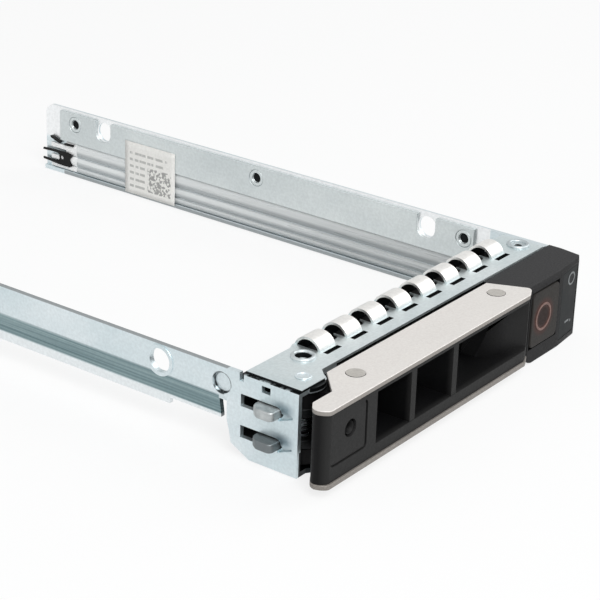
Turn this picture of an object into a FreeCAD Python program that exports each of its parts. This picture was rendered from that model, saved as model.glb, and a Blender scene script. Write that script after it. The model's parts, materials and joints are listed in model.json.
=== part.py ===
import FreeCAD, Part
import math
import os
import re
import Sketcher

# Hot swap drive caddy for a 2.5 inch drive, in millimetres.
# X runs across the bay, Y runs rearward from the front corner of the tray, Z runs up from its floor.

os.makedirs("parts", exist_ok=True)
doc = FreeCAD.newDocument("DriveCaddy")
sheet = doc.addObject("Spreadsheet::Sheet", "Sizes")

# Driving dimensions: name, value, meaning
driving = [
    ("bay_width", 70.25, "clear width between the rails, a 69.85 drive with 0.2 each side"),
    ("sheet", 0.8, "thickness of the folded tray"),
    ("joggle", 0.6, "inward step of the left rail's lower lip"),
    ("tray_height", 13.7, "height of the folded tray"),
    ("rail_rear", 118.9, "rear end of both rails"),
    ("box_depth", 10.8, "rear edge of the front box"),
    ("plate_front", 0.4, "front edge of the left side plate"),
    ("floor_front", 1.6, "front edge of the box floor"),
    ("floor_lip", 1.2, "reach of the floor's lip ahead of the tray corner, below the lever"),
    ("skirt_rear", 9.2, "rear end of the side plate's bottom edge"),
    ("skirt_back", 13.0, "rear edge of the side plate below the rail"),
    ("skirt_chamfer", 1.8, "height of the side plate's bottom chamfer"),
    ("band_drop", 4.55, "upper edge of the left rail's leaning band below the rail top"),
    ("band_height", 3.65, "height of the leaning band"),
    ("lip_height", 1.5, "height of the left rail's lip"),
    ("lip_front", 15.0, "front end of the left rail's lip"),
    ("lip_step_end", 25.0, "rear end of the raised stretch of the lip"),
    ("lip_step", 1.0, "height of the raised stretch"),
    ("screw_y", 26.4, "front drive screw from the tray's front corner"),
    ("screw_pitch", 76.6, "spacing of the two drive screws of a side"),
    ("screw_drop", 2.7, "drive screw below the rail top"),
    ("screw_hole", 1.95, "radius of a drive screw hole"),
    ("rim_width", 0.6, "width of the pressed rim round a drive screw hole"),
    ("rim_rise", 0.15, "height of that rim"),
    ("mark_y", 14.5, "stamped mark on the left rail"),
    ("mark_radius", 1.7, "radius of the stamped mark"),
    ("slot_front", 3.4, "front end of the two hook slots"),
    ("slot_rear", 10.9, "rear end of the two hook slots"),
    ("slot_spread", 0.186, "hook slots above and below mid height, as a share of the tray height"),
    ("slot_height", 2.0, "height of a hook slot"),
    ("dent_depth", 0.3, "depth of the pressed dent ahead of a slot"),
    ("dent_length", 2.6, "length of that dent"),
    ("dent_height", 2.5, "height of that dent"),
    ("peep_y", 5.5, "front edge of the small square hole below the cover"),
    ("peep_side", 1.6, "length of the small square hole"),
    ("peep_rise", 1.1, "height of the small square hole"),
    ("relief_width", 0.8, "width of the relief notch behind the box"),
    ("relief_depth", 1.3, "depth of the relief notch"),
    ("rail_corner", 2.0, "radius of the right rail's rear top corner"),
    ("right_front", 2.45, "front edge of the right rail"),
    ("inner_plate", 0.6, "thickness of the plate inside the right rail"),
    ("inner_front", 16.4, "front end of the inner plate"),
    ("inner_rear", 114.6, "rear end of the inner plate"),
    ("inner_height", 6.2, "height of the inner plate"),
    ("inner_drop", 0.5, "top of the inner plate below the rail top"),
    ("rivet_y", 18.5, "front rivet of the inner plate"),
    ("rivet_pitch", 46.0, "spacing of the three rivets"),
    ("rivet_radius", 1.6, "radius of a rail rivet"),
    ("rivet_bore", 0.95, "radius of the hole in a rail rivet"),
    ("rivet_depth", 0.45, "depth of the hole in a rail rivet"),
    ("cover_sheet", 0.4, "thickness of the spring cover"),
    ("cover_front", 2.3, "front edge of the spring cover"),
    ("cover_corner", 0.25, "front edge of the cover over the hinge"),
    ("cover_end", 1.225, "right end of the spring cover inside the right rail"),
    ("cover_flange", 1.5, "height of the cover's rear flange"),
    ("strap_edge", 0.75, "first strap from the end of the left tab"),
    ("strap_rest", 1.6, "last strap from the end of the right tab"),
    ("strap_width", 3.8, "width of a spring strap"),
    ("strap_count", 8, "number of spring straps"),
    ("strap_back", 2.45, "middle of a strap's arch ahead of the box's rear edge"),
    ("strap_radius", 2.55, "outer radius of a strap's arch"),
    ("strap_rise", 1.7, "height of a strap above the cover"),
    ("slit_lead", 3.35, "slit ahead of the middle of the arch"),
    ("slit_width", 0.55, "width of that slit"),
    ("gap_lead", 1.35, "gap between two straps ahead of the middle of the arch"),
    ("tab_left_reach", 11.025, "reach of the tray's left top tab from the side plate"),
    ("tab_right_reach", 6.325, "reach of the tray's right top tab from the rail"),
    ("eyelet_left_inset", 8.925, "left cover eyelet from the side plate"),
    ("eyelet_left_shift", 0.45, "left cover eyelet behind the middle of the box"),
    ("eyelet_right_inset", 3.425, "right cover eyelet from the right rail"),
    ("eyelet_right_shift", 0.65, "right cover eyelet ahead of the middle of the box"),
    ("eyelet_flange", 2.6, "radius of an eyelet's flange"),
    ("eyelet_shank", 1.85, "radius of an eyelet's shank"),
    ("eyelet_bore", 1.45, "radius of an eyelet's hole"),
    ("eyelet_length", 4.0, "length of an eyelet below its flange"),
    ("eyelet_rise", 0.35, "thickness of an eyelet's flange"),
    ("fixed_gap", 0.02, "clearance of a fastened shank in its hole"),
    ("pivot_inset", 3.625, "lever pivot from the side plate"),
    ("pivot_y", 3.0, "lever pivot"),
    ("ear_radius", 3.4, "rounded ears of the tray round the pivot"),
    ("pin_radius", 1.2, "radius of the pivot pin"),
    ("pin_head", 1.5, "radius of the pivot pin's head"),
    ("pin_rise", 0.3, "height of the pivot pin's head"),
    ("running_gap", 0.08, "clearance of a turning bore round the pin"),
    ("hub_radius", 2.85, "radius of the lever's hub"),
    ("hub_bottom", 1.1, "lower end of the hub"),
    ("hub_drop", 1.1, "upper end of the hub below the tray's top"),
    ("arm_side", 0.2, "left side of the lever's arm right of the pivot"),
    ("lever_reach", 3.1, "lever's left end beyond the side plate"),
    ("lever_front", 6.8, "front edge of the lever plates"),
    ("lever_rear", 1.2, "rear edge of the lever"),
    ("lever_short", 18.025, "right tip of the lever from the right rail"),
    ("lever_slant", 3.0, "run of the lever's slanted right end"),
    ("lever_nose", 2.5, "run of the lever's front right corner"),
    ("notch_front", 3.1, "front edge of the lever's hinge notch"),
    ("notch_left", 1.3, "notch corner left of the pivot"),
    ("lever_plate", 0.8, "thickness of a lever plate"),
    ("lever_bottom", 1.5, "underside of the lever"),
    ("lever_over", 0.43, "top of the lever above the tray's top"),
    ("grille_inset", 0.3, "black grille behind the lever plates' front edge"),
    ("window_inset", 5.4, "lever's windows right of the pivot"),
    ("window_short", 9.8, "lever's windows short of its tip, at the foot"),
    ("window_lean", 1.95, "lean of the windows' right wall"),
    ("window_foot", 4.2, "lower edge of the lever's windows"),
    ("window_drop", 1.1, "upper edge of the lever's windows below the tray's top"),
    ("rib_start", 0.2572, "first rib, as a share of the windows' length"),
    ("rib_share", 0.328, "spacing of the two ribs, as a share of the windows' length"),
    ("rib_width", 1.0, "thickness of a rib"),
    ("rib_setback", 0.9, "ribs behind the grille's front face"),
    ("panel_reach", 3.0, "right side of the blank panel from the pivot"),
    ("panel_margin", 1.7, "blank panel inside the lever's left end"),
    ("panel_depth", 0.25, "depth of the blank panel"),
    ("panel_hole_inset", 1.1, "round hole in the blank panel left of the pivot"),
    ("panel_hole_drop", 4.4, "round hole in the blank panel below the tray's top"),
    ("panel_hole", 1.0, "radius of the round hole"),
    ("stud_inset", 5.8, "left lever stud from the pivot"),
    ("stud_short", 5.4, "right lever stud from the lever's tip"),
    ("stud_y", 2.15, "lever studs ahead of the tray corner"),
    ("stud_radius", 1.5, "radius of a lever stud"),
    ("hook_width", 1.5, "thickness of a hook"),
    ("hook_reach", 2.1, "hook tip beyond the side plate"),
    ("hook_front", 0.7, "front side of a hook behind the pivot"),
    ("hook_rear", 4.9, "rear side of a hook behind the pivot"),
    ("hook_tip_radius", 0.9, "rounding of a hook's tip"),
    ("spring_wire", 0.2, "wire radius of the lever spring"),
    ("spring_radius", 1.65, "mean coil radius of the lever spring"),
    ("spring_turns", 4, "turns of the lever spring"),
    ("frame_depth", 1.6, "thickness of the vented frame"),
    ("frame_inset", 8.125, "left end of the vented frame from the side plate"),
    ("frame_short", 0.825, "right end of the vented frame from the right rail"),
    ("deck", 0.8, "thickness of the deck below the straps"),
    ("deck_short", 0.8, "rear edge of that deck ahead of the box's rear edge"),
    ("boss_radius", 2.5, "radius of an eyelet boss"),
    ("block_gap", 0.5, "gap between the lever's tip and the bezel"),
    ("block_front", 5.3, "front face of the bezel"),
    ("block_over", 0.1, "top of the bezel above the tray's top"),
    ("block_chamfer", 0.5, "chamfer of the bezel's top front edge"),
    ("facet_inset", 7.525, "left side of the lamp facet from the right rail"),
    ("facet_edge", 1.125, "right side of the lamp facet from the right rail"),
    ("facet_turn", 0.6, "rearward run of the lamp facet"),
    ("button_start", 1.05, "left side of the release button from the lever's tip"),
    ("button_short", 1.1, "right side of the release button from the lamp facet"),
    ("button_foot", 2.8, "lower side of the release button"),
    ("button_drop", 1.3, "upper side of the release button below the tray's top"),
    ("button_gap", 0.25, "gap round the release button"),
    ("button_proud", 0.2, "button face ahead of the bezel"),
    ("button_depth", 2.3, "thickness of the button"),
    ("button_travel", 1.8, "travel of the release button"),
    ("button_corner", 0.9, "corner radius of the release button"),
    ("ring_outer", 2.95, "outer radius of the button's ring"),
    ("ring_inner", 2.2, "inner radius of the button's ring"),
    ("ring_rise", 0.1, "height of the ring above the button"),
    ("fin_rear", 0.5, "rear end of the button's wedge ahead of the tray corner"),
    ("catch_width", 1.2, "depth of the catch from front to rear"),
    ("catch_height", 1.4, "height of the catch's arm"),
    ("catch_fin", 1.6, "height of the wedge above the arm"),
    ("catch_foot", 5.8, "underside of the catch"),
    ("catch_nose", 4.1, "left tip of the catch inside the lever's tip"),
    ("catch_reach", 6.9, "right end of the catch beyond the lever's tip"),
    ("catch_gap", 0.2, "running clearance round the catch"),
    ("wedge_shift", 2.3, "wedge faces meet where X less the lever's tip plus Y has this value"),
    ("wedge_front", 1.2, "front of the catch's wedge ahead of the tray corner"),
    ("coil_wire", 0.15, "wire radius of the catch spring"),
    ("coil_radius", 0.7, "mean coil radius of the catch spring"),
    ("coil_turns", 5, "turns of the catch spring"),
    ("coil_seat", 4.725, "seat of the catch spring from the right rail"),
    ("lamp_depth", 1.0, "thickness of the lamp window"),
    ("lamp_foot", 1.0, "lower edge of the lamp window"),
    ("lamp_drop", 0.8, "upper edge of the lamp window below the tray's top"),
    ("guide_thickness", 0.45, "thickness of a light guide"),
    ("guide_gap", 0.1, "gap between two light guides"),
    ("guide_front", 3.6, "front face of the light guides"),
    ("guide_head", 2.6, "depth of a light guide's front head"),
    ("guide_head_width", 5.725, "width of a light guide's front head"),
    ("guide_rear", 113.2, "rear end of the full height of a light guide"),
    ("guide_tail", 120.4, "rear tip of a light guide"),
    ("tail_share", 0.78, "height of a guide's rear tip, as a share of the lower guide's height"),
    ("lower_share", 0.2786, "top of the lower light guide, as a share of the guides' height"),
    ("middle_share", 0.5714, "top of the middle light guide, as a share of the guides' height"),
    ("holder_depth", 2.7, "length of the guide holder"),
    ("holder_cheek", 0.28, "guide holder inside the light guides"),
    ("finger", 0.2, "thickness of the guide holder's fingers"),
    ("label_front", 84.5, "front edge of the label"),
    ("label_rear", 97.3, "rear edge of the label"),
    ("label_top", 11.0, "upper edge of the label"),
    ("label_film", 0.1, "thickness of the label"),
]
for row, (alias, value, meaning) in enumerate(driving, start=1):
    sheet.set(f"A{row}", meaning)
    sheet.set(f"B{row}", str(value))
    sheet.setAlias(f"B{row}", alias)
doc.recompute()
aliases = {alias for alias, value, meaning in driving}

# Places that follow from the driving dimensions
places = {
    "half_bay": "bay_width / 2",
    "lip_out": "-half_bay - sheet",
    "left_in": "-half_bay - joggle",
    "left_out": "left_in - sheet",
    "right_in": "half_bay + inner_plate",
    "right_out": "right_in + sheet",
    "band_top": "tray_height - band_drop",
    "band_foot": "band_top - band_height",
    "lip_bottom": "band_foot - lip_height",
    "skirt_shoulder": "(skirt_chamfer + band_foot) / 2",
    "screw_z": "tray_height - screw_drop",
    "upper_slot": "tray_height * (0.5 + slot_spread)",
    "lower_slot": "tray_height * (0.5 - slot_spread)",
    "tab_bottom": "tray_height - sheet",
    "tab_inner": "left_in + tab_left_reach",
    "tab_right": "right_in - tab_right_reach",
    "inner_head": "tray_height - inner_drop",
    "inner_foot": "inner_head - inner_height",
    "cover_top": "tray_height + cover_sheet",
    "cover_right": "right_in - cover_end",
    "box_middle": "(cover_front + box_depth) / 2",
    "eyelet_left_x": "left_in + eyelet_left_inset",
    "eyelet_left_y": "box_middle + eyelet_left_shift",
    "eyelet_right_x": "right_in - eyelet_right_inset",
    "eyelet_right_y": "box_middle - eyelet_right_shift",
    "strap_first": "tab_inner + strap_edge",
    "strap_end": "strap_first + strap_width",
    "strap_pitch": "(tab_right - strap_rest - strap_end) / (strap_count - 1)",
    "strap_middle": "box_depth - strap_back",
    "slit_front": "strap_middle - slit_lead",
    "gap_front": "strap_middle - gap_lead",
    "arch_z": "cover_top + strap_rise - strap_radius",
    "window_rear": "box_depth - cover_sheet",
    "gap_middle": "strap_first + (strap_width + strap_pitch) / 2",
    "gap_half": "(strap_pitch - strap_width) / 2",
    "pivot_x": "left_in + pivot_inset",
    "notch_corner": "pivot_x + ear_radius - 0.3",
    "lever_left": "left_out - lever_reach",
    "lever_end": "right_in - lever_short",
    "lever_top": "tray_height + lever_over",
    "hub_top": "tray_height - hub_drop",
    "slant_rear": "lever_end - lever_slant",
    "lever_rear_edge": "lever_rear - 0.1",
    "grille_bottom": "lever_bottom + lever_plate",
    "grille_top": "lever_top - lever_plate",
    "grille_front": "grille_inset - lever_front",
    "window_left": "pivot_x + window_inset",
    "window_right": "lever_end - window_short",
    "window_head": "tray_height - window_drop",
    "window_length": "window_right - window_left",
    "rib_first": "window_left + window_length * rib_start",
    "rib_pitch": "window_length * rib_share",
    "panel_left": "lever_left + panel_margin",
    "panel_right": "pivot_x + panel_reach",
    "panel_foot": "window_foot + 0.4",
    "panel_head": "window_head - 0.1",
    "panel_hole_x": "pivot_x - panel_hole_inset",
    "panel_hole_z": "tray_height - panel_hole_drop",
    "stud_left": "pivot_x + stud_inset",
    "stud_right": "lever_end - stud_short",
    "upper_hook_foot": "upper_slot - hook_width / 2",
    "lower_hook_foot": "lower_slot - hook_width / 2",
    "hook_tip": "left_out - hook_reach",
    "frame_left": "left_in + frame_inset",
    "frame_right": "right_in - frame_short",
    "frame_rear": "floor_front + frame_depth",
    "deck_rear": "box_depth - deck_short",
    "block_tip": "lever_end + block_gap - 0.1",
    "block_heel": "lever_end + block_gap - lever_slant + 0.3",
    "block_side": "right_out - 0.02",
    "block_top": "tray_height + block_over",
    "facet_left": "right_in - facet_inset",
    "facet_right": "right_in - facet_edge",
    "button_left": "lever_end + button_start",
    "button_right": "facet_left - button_short",
    "button_head": "tray_height - button_drop",
    "button_face": "-block_front - button_proud",
    "button_back": "button_face + button_depth",
    "bay_rear": "button_travel - fin_rear + 0.1",
    "fin_foot": "catch_foot + catch_height + catch_gap",
    "fin_head": "fin_foot + catch_fin",
    "ring_x": "(button_left + button_right) / 2 - 0.6",
    "ring_z": "(button_foot + button_head) / 2",
    "catch_tip": "lever_end - catch_nose",
    "catch_end": "lever_end + catch_reach",
    "wedge_line": "lever_end + wedge_shift",
    "wedge_face": "wedge_line + 0.3",
    "coil_end": "right_in - coil_seat",
    "keeper_foot": "catch_foot - catch_gap",
    "lamp_left": "facet_left + 0.3",
    "lamp_right": "facet_right - 0.3",
    "lamp_head": "tray_height - lamp_drop",
    "guide_inner": "right_in - guide_thickness",
    "guide_head_left": "right_in - guide_head_width",
    "lower_guide_top": "inner_foot * lower_share",
    "middle_guide_top": "inner_foot * middle_share",
    "tail_height": "(lower_guide_top - sheet) * tail_share",
    "label_bottom": "sheet + guide_gap",
}


def full(text):
    """Formula in the sheet's own names, with each shared place written out."""
    words = []
    for word in re.split(r"([a-z_]+)", str(text)):
        if word in aliases:
            word = "Sizes." + word
        elif word in places:
            word = "(" + full(places[word]) + ")"
        words.append(word)
    return "".join(words)


def number(text):
    """Present value of a formula."""
    return float(sheet.evalExpression(full(text)))


def bind(feature, path, text):
    """Tie a property to a formula of spreadsheet names."""
    feature.setExpression(path, full(text))


# Turn of each base plane's normal against the axis that a pad grows along
normals = {"XY": 1, "XZ": -1, "YZ": 1}


def new_body(name):
    """Empty body named after its file."""
    body = doc.addObject("PartDesign::Body", name)
    body.Label = name
    body.AllowCompound = True
    return body


def block(u0, v0, u1, v1):
    """Rectangle between two corners."""
    return [(u0, v0), (u1, v0), (u1, v1), (u0, v1)]


def disc(u, v, radius):
    """Circle round a centre."""
    return ("disc", u, v, radius)


def draw_disc(sketch, outline):
    """Circle with its centre and radius tied to formulas."""
    kind, u, v, radius = outline
    centre = FreeCAD.Vector(number(u), number(v), 0)
    edge = sketch.addGeometry(Part.Circle(centre, FreeCAD.Vector(0, 0, 1), number(radius)))
    rules = [
        Sketcher.Constraint("DistanceX", -1, 1, edge, 3, centre.x),
        Sketcher.Constraint("DistanceY", -1, 1, edge, 3, centre.y),
        Sketcher.Constraint("Radius", edge, number(radius)),
    ]
    for rule, text in zip(sketch.addConstraint(rules), (u, v, radius)):
        bind(sketch, f"Constraints[{rule}]", text)


def draw_polygon(sketch, corners):
    """Closed outline with each corner tied to formulas."""
    spots = [FreeCAD.Vector(number(u), number(v), 0) for u, v in corners]
    lines = [Part.LineSegment(spots[place - 1], spot) for place, spot in enumerate(spots)]
    edges = sketch.addGeometry(lines)
    joins = [Sketcher.Constraint("Coincident", edges[place - 1], 2, edge, 1) for place, edge in enumerate(edges)]
    sketch.addConstraint(joins)
    for edge, spot, corner in zip(edges, spots, corners):
        rules = [
            Sketcher.Constraint("DistanceX", -1, 1, edge, 2, spot.x),
            Sketcher.Constraint("DistanceY", -1, 1, edge, 2, spot.y),
        ]
        for rule, text in zip(sketch.addConstraint(rules), corner):
            bind(sketch, f"Constraints[{rule}]", text)


def new_sketch(body, plane, start, outlines):
    """Sketch on one of the body's own base planes, moved to where the feature starts."""
    sketch = body.newObject("Sketcher::SketchObject", body.Label + "_sketch")
    base = next(item for item in body.Origin.OriginFeatures if item.Role == plane + "_Plane")
    sketch.AttachmentSupport = [(base, "")]
    sketch.MapMode = "FlatFace"
    bind(sketch, "AttachmentOffset.Base.z", f"{normals[plane]} * ({start})")
    for outline in outlines:
        if outline[0] == "disc":
            draw_disc(sketch, outline)
        else:
            draw_polygon(sketch, outline)
    return sketch


def pad(body, plane, start, end, *outlines):
    """Solid from start to end along the axis across the plane."""
    feature = body.newObject("PartDesign::Pad", body.Label + "_pad")
    feature.Profile = new_sketch(body, plane, start, outlines)
    feature.Reversed = plane == "XZ"
    bind(feature, "Length", f"({end}) - ({start})")
    return feature


def cut(body, plane, start, end, *outlines):
    """Space from start to end along the axis across the plane."""
    doc.recompute()
    before = body.Shape.Volume
    feature = body.newObject("PartDesign::Pocket", body.Label + "_cut")
    feature.Profile = new_sketch(body, plane, start, outlines)
    feature.Reversed = plane != "XZ"
    bind(feature, "Length", f"({end}) - ({start})")
    doc.recompute()
    if body.Shape.Volume > before - 0.001:
        print("a cut took nothing away from", body.Label, before, body.Shape.Volume)
    return feature


def soften(body, axis, places, size, kind="Fillet"):
    """Round or chamfer the straight edges that run along an axis through the given places."""
    doc.recompute()
    along = "XYZ".index(axis)
    across = [place for place in range(3) if place != along]
    spots = [(number(u), number(v)) for u, v in places]
    names = []
    for place, edge in enumerate(body.Shape.Edges, start=1):
        ends = [vertex.Point for vertex in edge.Vertexes]
        if len(ends) != 2 or edge.Curve.TypeId != "Part::GeomLine":
            continue
        for spot in spots:
            if all(abs(end[across[0]] - spot[0]) + abs(end[across[1]] - spot[1]) < 0.005 for end in ends):
                names.append(f"Edge{place}")
    tip = body.Tip
    feature = body.newObject("PartDesign::" + kind, f"{body.Label}_{kind.lower()}")
    feature.Base = (tip, names)
    bind(feature, "Radius" if kind == "Fillet" else "Size", size)
    return feature


def repeat(body, features, axis, pitch, count):
    """Row of copies of some features along one of the body's axes."""
    row = body.newObject("PartDesign::LinearPattern", body.Label + "_row")
    row.Originals = features
    line = next(item for item in body.Origin.OriginFeatures if item.Role == axis + "_Axis")
    row.Direction = (line, [""])
    bind(row, "Length", f"({pitch}) * ({count} - 1)")
    bind(row, "Occurrences", count)
    body.Tip = row
    return row


def coil(name, radius, wire, length, turns, x, y, z, along_x):
    """Square wire wound into an open coil spring, set along Z or turned along X."""
    steps = 9 * int(number(turns))
    rise = number(f"({length}) - 2 * {wire}") * 0.98
    mean = number(radius)
    thick = number(wire)
    points = []
    for step in range(steps + 1):
        turn = math.radians(40 * step)
        points.append(FreeCAD.Vector(mean * math.cos(turn), mean * math.sin(turn), rise * step / steps))
    sides = [math.radians(90 * side) for side in range(5)]
    rim = [FreeCAD.Vector(mean + thick * math.cos(side), 0, thick * math.sin(side)) for side in sides]
    spring = doc.addObject("Part::Feature", name)
    spring.Label = name
    spring.Shape = Part.Wire(Part.makePolygon(points)).makePipeShell([Part.makePolygon(rim)], True, False, 1)
    turn = FreeCAD.Rotation(FreeCAD.Vector(0, 1, 0), 90 if along_x else 0)
    spring.Placement = FreeCAD.Placement(FreeCAD.Vector(number(x), number(y), number(z)), turn)
    return spring


# Folded tray: left side plate and rail, box floor, top tabs and right rail are one sheet
tray = new_body("tray_frame")
pad(tray, "YZ", "left_out", "left_in", [
    ("plate_front", "0"), ("skirt_rear", "0"), ("skirt_back - 0.35", "skirt_chamfer"),
    ("skirt_back", "skirt_shoulder"), ("skirt_back + 0.5", "band_foot"),
    ("skirt_back + 0.5", "band_top - 0.75"),
    ("lip_front", "band_top - 0.75"), ("lip_front", "band_top"), ("rail_rear", "band_top"), ("rail_rear", "tray_height"), ("plate_front", "tray_height")])
pad(tray, "XZ", "lip_front", "rail_rear", [
    ("left_out", "band_top"), ("lip_out", "band_foot"), ("lip_out", "lip_bottom"), ("-half_bay", "lip_bottom"),
    ("-half_bay", "band_foot"), ("left_in", "band_top")])
cut(tray, "YZ", "left_out - 1", "-half_bay + 1",
    block("lip_front - 1", "lip_bottom - 1", "lip_step_end", "lip_bottom + lip_step"))
pad(tray, "XY", "0", "sheet", [
    ("left_out", "plate_front"), ("notch_corner", "plate_front"), ("notch_corner + 1.2", "-floor_lip"),
    ("block_heel - 0.6", "-floor_lip"), ("block_heel - 0.6", "floor_front"), ("right_in", "floor_front"),
    ("right_in", "box_depth"), ("left_in", "box_depth"), ("left_out", "skirt_rear")])
pad(tray, "XY", "0", "sheet", disc("pivot_x", "pivot_y", "ear_radius"))
pad(tray, "XY", "tab_bottom", "tray_height", [
    ("left_in", "plate_front"), ("pivot_x + 1.6", "plate_front"), ("pivot_x + 3.6", "cover_front + 0.1"),
    ("tab_inner", "cover_front + 0.1"), ("tab_inner", "box_depth - 0.5"), ("left_in", "box_depth - 0.5")])
pad(tray, "XY", "tab_bottom", "tray_height", disc("pivot_x", "pivot_y", "ear_radius"))
pad(tray, "YZ", "right_in", "right_out", block("right_front", "0", "rail_rear", "tray_height"))
soften(tray, "X", [("rail_rear", "tray_height")], "rail_corner")
pad(tray, "XY", "tab_bottom", "tray_height", block("tab_right", "cover_front + 0.3", "right_in", "box_depth - 0.5"))
pad(tray, "XZ", "box_depth", "rail_rear", block("half_bay", "0", "right_in", "sheet"))
for middle in ("upper_slot", "lower_slot"):
    cut(tray, "YZ", "left_out - 1", "left_in + 1", block(
        "slot_front + slot_height / 2", f"{middle} - slot_height / 2", "slot_rear", f"{middle} + slot_height / 2"))
    cut(tray, "YZ", "left_out - 1", "left_in + 1",
        disc("slot_front + slot_height / 2", middle, "slot_height / 2"))
    cut(tray, "YZ", "left_out - 1", "left_out + dent_depth", [
        ("slot_front - dent_length + 0.6", f"{middle} - 0.2"), ("slot_front + 0.6", f"{middle} - dent_height / 2"),
        ("slot_front + 0.6", f"{middle} + dent_height / 2"), ("slot_front - dent_length + 0.6", f"{middle} + 0.2")])
cut(tray, "YZ", "left_out - 1", "left_in", block(
    "peep_y", "tab_bottom - peep_rise", "peep_y + peep_side", "tab_bottom"))
cut(tray, "YZ", "left_out - 1", "left_in + 1", block(
    "box_depth - 0.4", "tray_height - relief_depth", "box_depth - 0.4 + relief_width", "tray_height + 1"))
for middle in ("screw_y", "screw_y + screw_pitch"):
    pad(tray, "YZ", "left_out - rim_rise", "left_out", disc(middle, "screw_z", "screw_hole + rim_width"))
    cut(tray, "YZ", "left_out - 1", "left_in + 1", disc(middle, "screw_z", "screw_hole"))
    cut(tray, "YZ", "right_in - 1", "right_out + 1", disc(middle, "screw_z", "screw_hole"))
cut(tray, "YZ", "left_out - 1", "left_out + rim_rise", disc("mark_y", "screw_z", "mark_radius"))
cut(tray, "XY", "tab_bottom", "tray_height",
    disc("eyelet_left_x", "eyelet_left_y", "eyelet_shank + fixed_gap"),
    disc("eyelet_right_x", "eyelet_right_y", "eyelet_shank + fixed_gap"))
cut(tray, "XY", "-1", "tray_height + 1", disc("pivot_x", "pivot_y", "pin_radius + fixed_gap"))

# Plate riveted inside the right rail, with its two open screw notches
inner = new_body("inner_rail_plate")
pad(inner, "YZ", "half_bay", "right_in", block("inner_front", "inner_foot", "inner_rear", "inner_head"))
for middle in ("screw_y", "screw_y + screw_pitch"):
    cut(inner, "YZ", "half_bay - 1", "right_in + 1", disc(middle, "screw_z", "screw_hole"))
    cut(inner, "YZ", "half_bay - 1", "right_in + 1",
        block(f"{middle} - screw_hole", "screw_z", f"{middle} + screw_hole", "tray_height + 1"))
plate_hole = cut(inner, "YZ", "half_bay - 1", "right_in + 1",
                 disc("rivet_y", "screw_z", "rivet_radius + fixed_gap"))
repeat(inner, [plate_hole], "Y", "rivet_pitch", "3")

# Three weld rivets that hold the inner plate, hollow and flush on the bay's side
rivets = new_body("rail_rivets")
rivet = pad(rivets, "YZ", "half_bay", "right_in", disc("rivet_y", "screw_z", "rivet_radius"))
rivet_bore = cut(rivets, "YZ", "half_bay", "half_bay + rivet_depth", disc("rivet_y", "screw_z", "rivet_bore"))
repeat(rivets, [rivet, rivet_bore], "Y", "rivet_pitch", "3")

# Thin cover with its row of arched contact straps
cover = new_body("spring_cover")
pad(cover, "XY", "tray_height", "cover_top", [
    ("left_out", "cover_corner"), ("pivot_x + 1.6", "cover_corner"), ("pivot_x + 3.6", "cover_front"),
    ("cover_right", "cover_front"), ("cover_right", "box_depth - 0.5"), ("tab_right - 0.2", "box_depth"),
    ("tab_inner + 0.2", "box_depth"), ("tab_inner - 1", "box_depth - 0.5"), ("left_out", "box_depth - 0.5")])
pad(cover, "XZ", "box_depth - cover_sheet", "box_depth",
    block("tab_inner + 0.2", "tray_height - cover_flange", "tab_right - 0.2", "tray_height"))
strap_hole = cut(cover, "XY", "tray_height - 0.2", "cover_top + 0.2",
                 block("strap_first", "strap_middle - strap_radius + cover_sheet + 0.05", "strap_end", "window_rear"))
slit = cut(cover, "XY", "tray_height - 0.2", "cover_top + 0.2",
           block("strap_first + 0.1", "slit_front", "strap_end - 0.1", "slit_front + slit_width"))
arch = pad(cover, "YZ", "strap_first", "strap_end",
           disc("strap_middle", "arch_z", "strap_radius"), disc("strap_middle", "arch_z", "strap_radius - cover_sheet"))
under = cut(cover, "YZ", "strap_first - 0.1", "strap_end + 0.1",
            block("strap_middle - strap_radius - 0.2", "tray_height - strap_radius * 2 + cover_flange",
                  "window_rear", "tray_height"))
repeat(cover, [strap_hole, slit, arch, under], "X", "strap_pitch", "strap_count")
gap = cut(cover, "XY", "tray_height - 0.2", "cover_top + 0.2",
          block("gap_middle - gap_half", "gap_front + gap_half", "gap_middle + gap_half", "window_rear"))
gap_round = cut(cover, "XY", "tray_height - 0.2", "cover_top + 0.2",
                disc("gap_middle", "gap_front + gap_half", "gap_half - 0.01"))
repeat(cover, [gap, gap_round], "X", "strap_pitch", "strap_count - 1")
cut(cover, "XY", "tray_height - 0.2", "cover_top + 0.2",
    disc("eyelet_left_x", "eyelet_left_y", "eyelet_shank + fixed_gap"),
    disc("eyelet_right_x", "eyelet_right_y", "eyelet_shank + fixed_gap"))
cut(cover, "XY", "tray_height - 0.2", "cover_top + 0.2", disc("pivot_x", "pivot_y", "pin_radius + fixed_gap"))

# Two hollow eyelets that hold the cover, the tray's tabs and the bezel frame together
eyelets = new_body("cover_eyelets")
pad(eyelets, "XY", "cover_top - eyelet_length", "cover_top",
    disc("eyelet_left_x", "eyelet_left_y", "eyelet_shank"), disc("eyelet_right_x", "eyelet_right_y", "eyelet_shank"))
pad(eyelets, "XY", "cover_top", "cover_top + eyelet_rise",
    disc("eyelet_left_x", "eyelet_left_y", "eyelet_flange"), disc("eyelet_right_x", "eyelet_right_y", "eyelet_flange"))
cut(eyelets, "XY", "cover_top - eyelet_length - 1", "cover_top + eyelet_rise + 1",
    disc("eyelet_left_x", "eyelet_left_y", "eyelet_bore"), disc("eyelet_right_x", "eyelet_right_y", "eyelet_bore"))

# Pin that the lever turns on
pin = new_body("pivot_pin")
pad(pin, "XY", "0", "cover_top", disc("pivot_x", "pivot_y", "pin_radius"))
pad(pin, "XY", "cover_top", "cover_top + pin_rise", disc("pivot_x", "pivot_y", "pin_head"))

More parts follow.
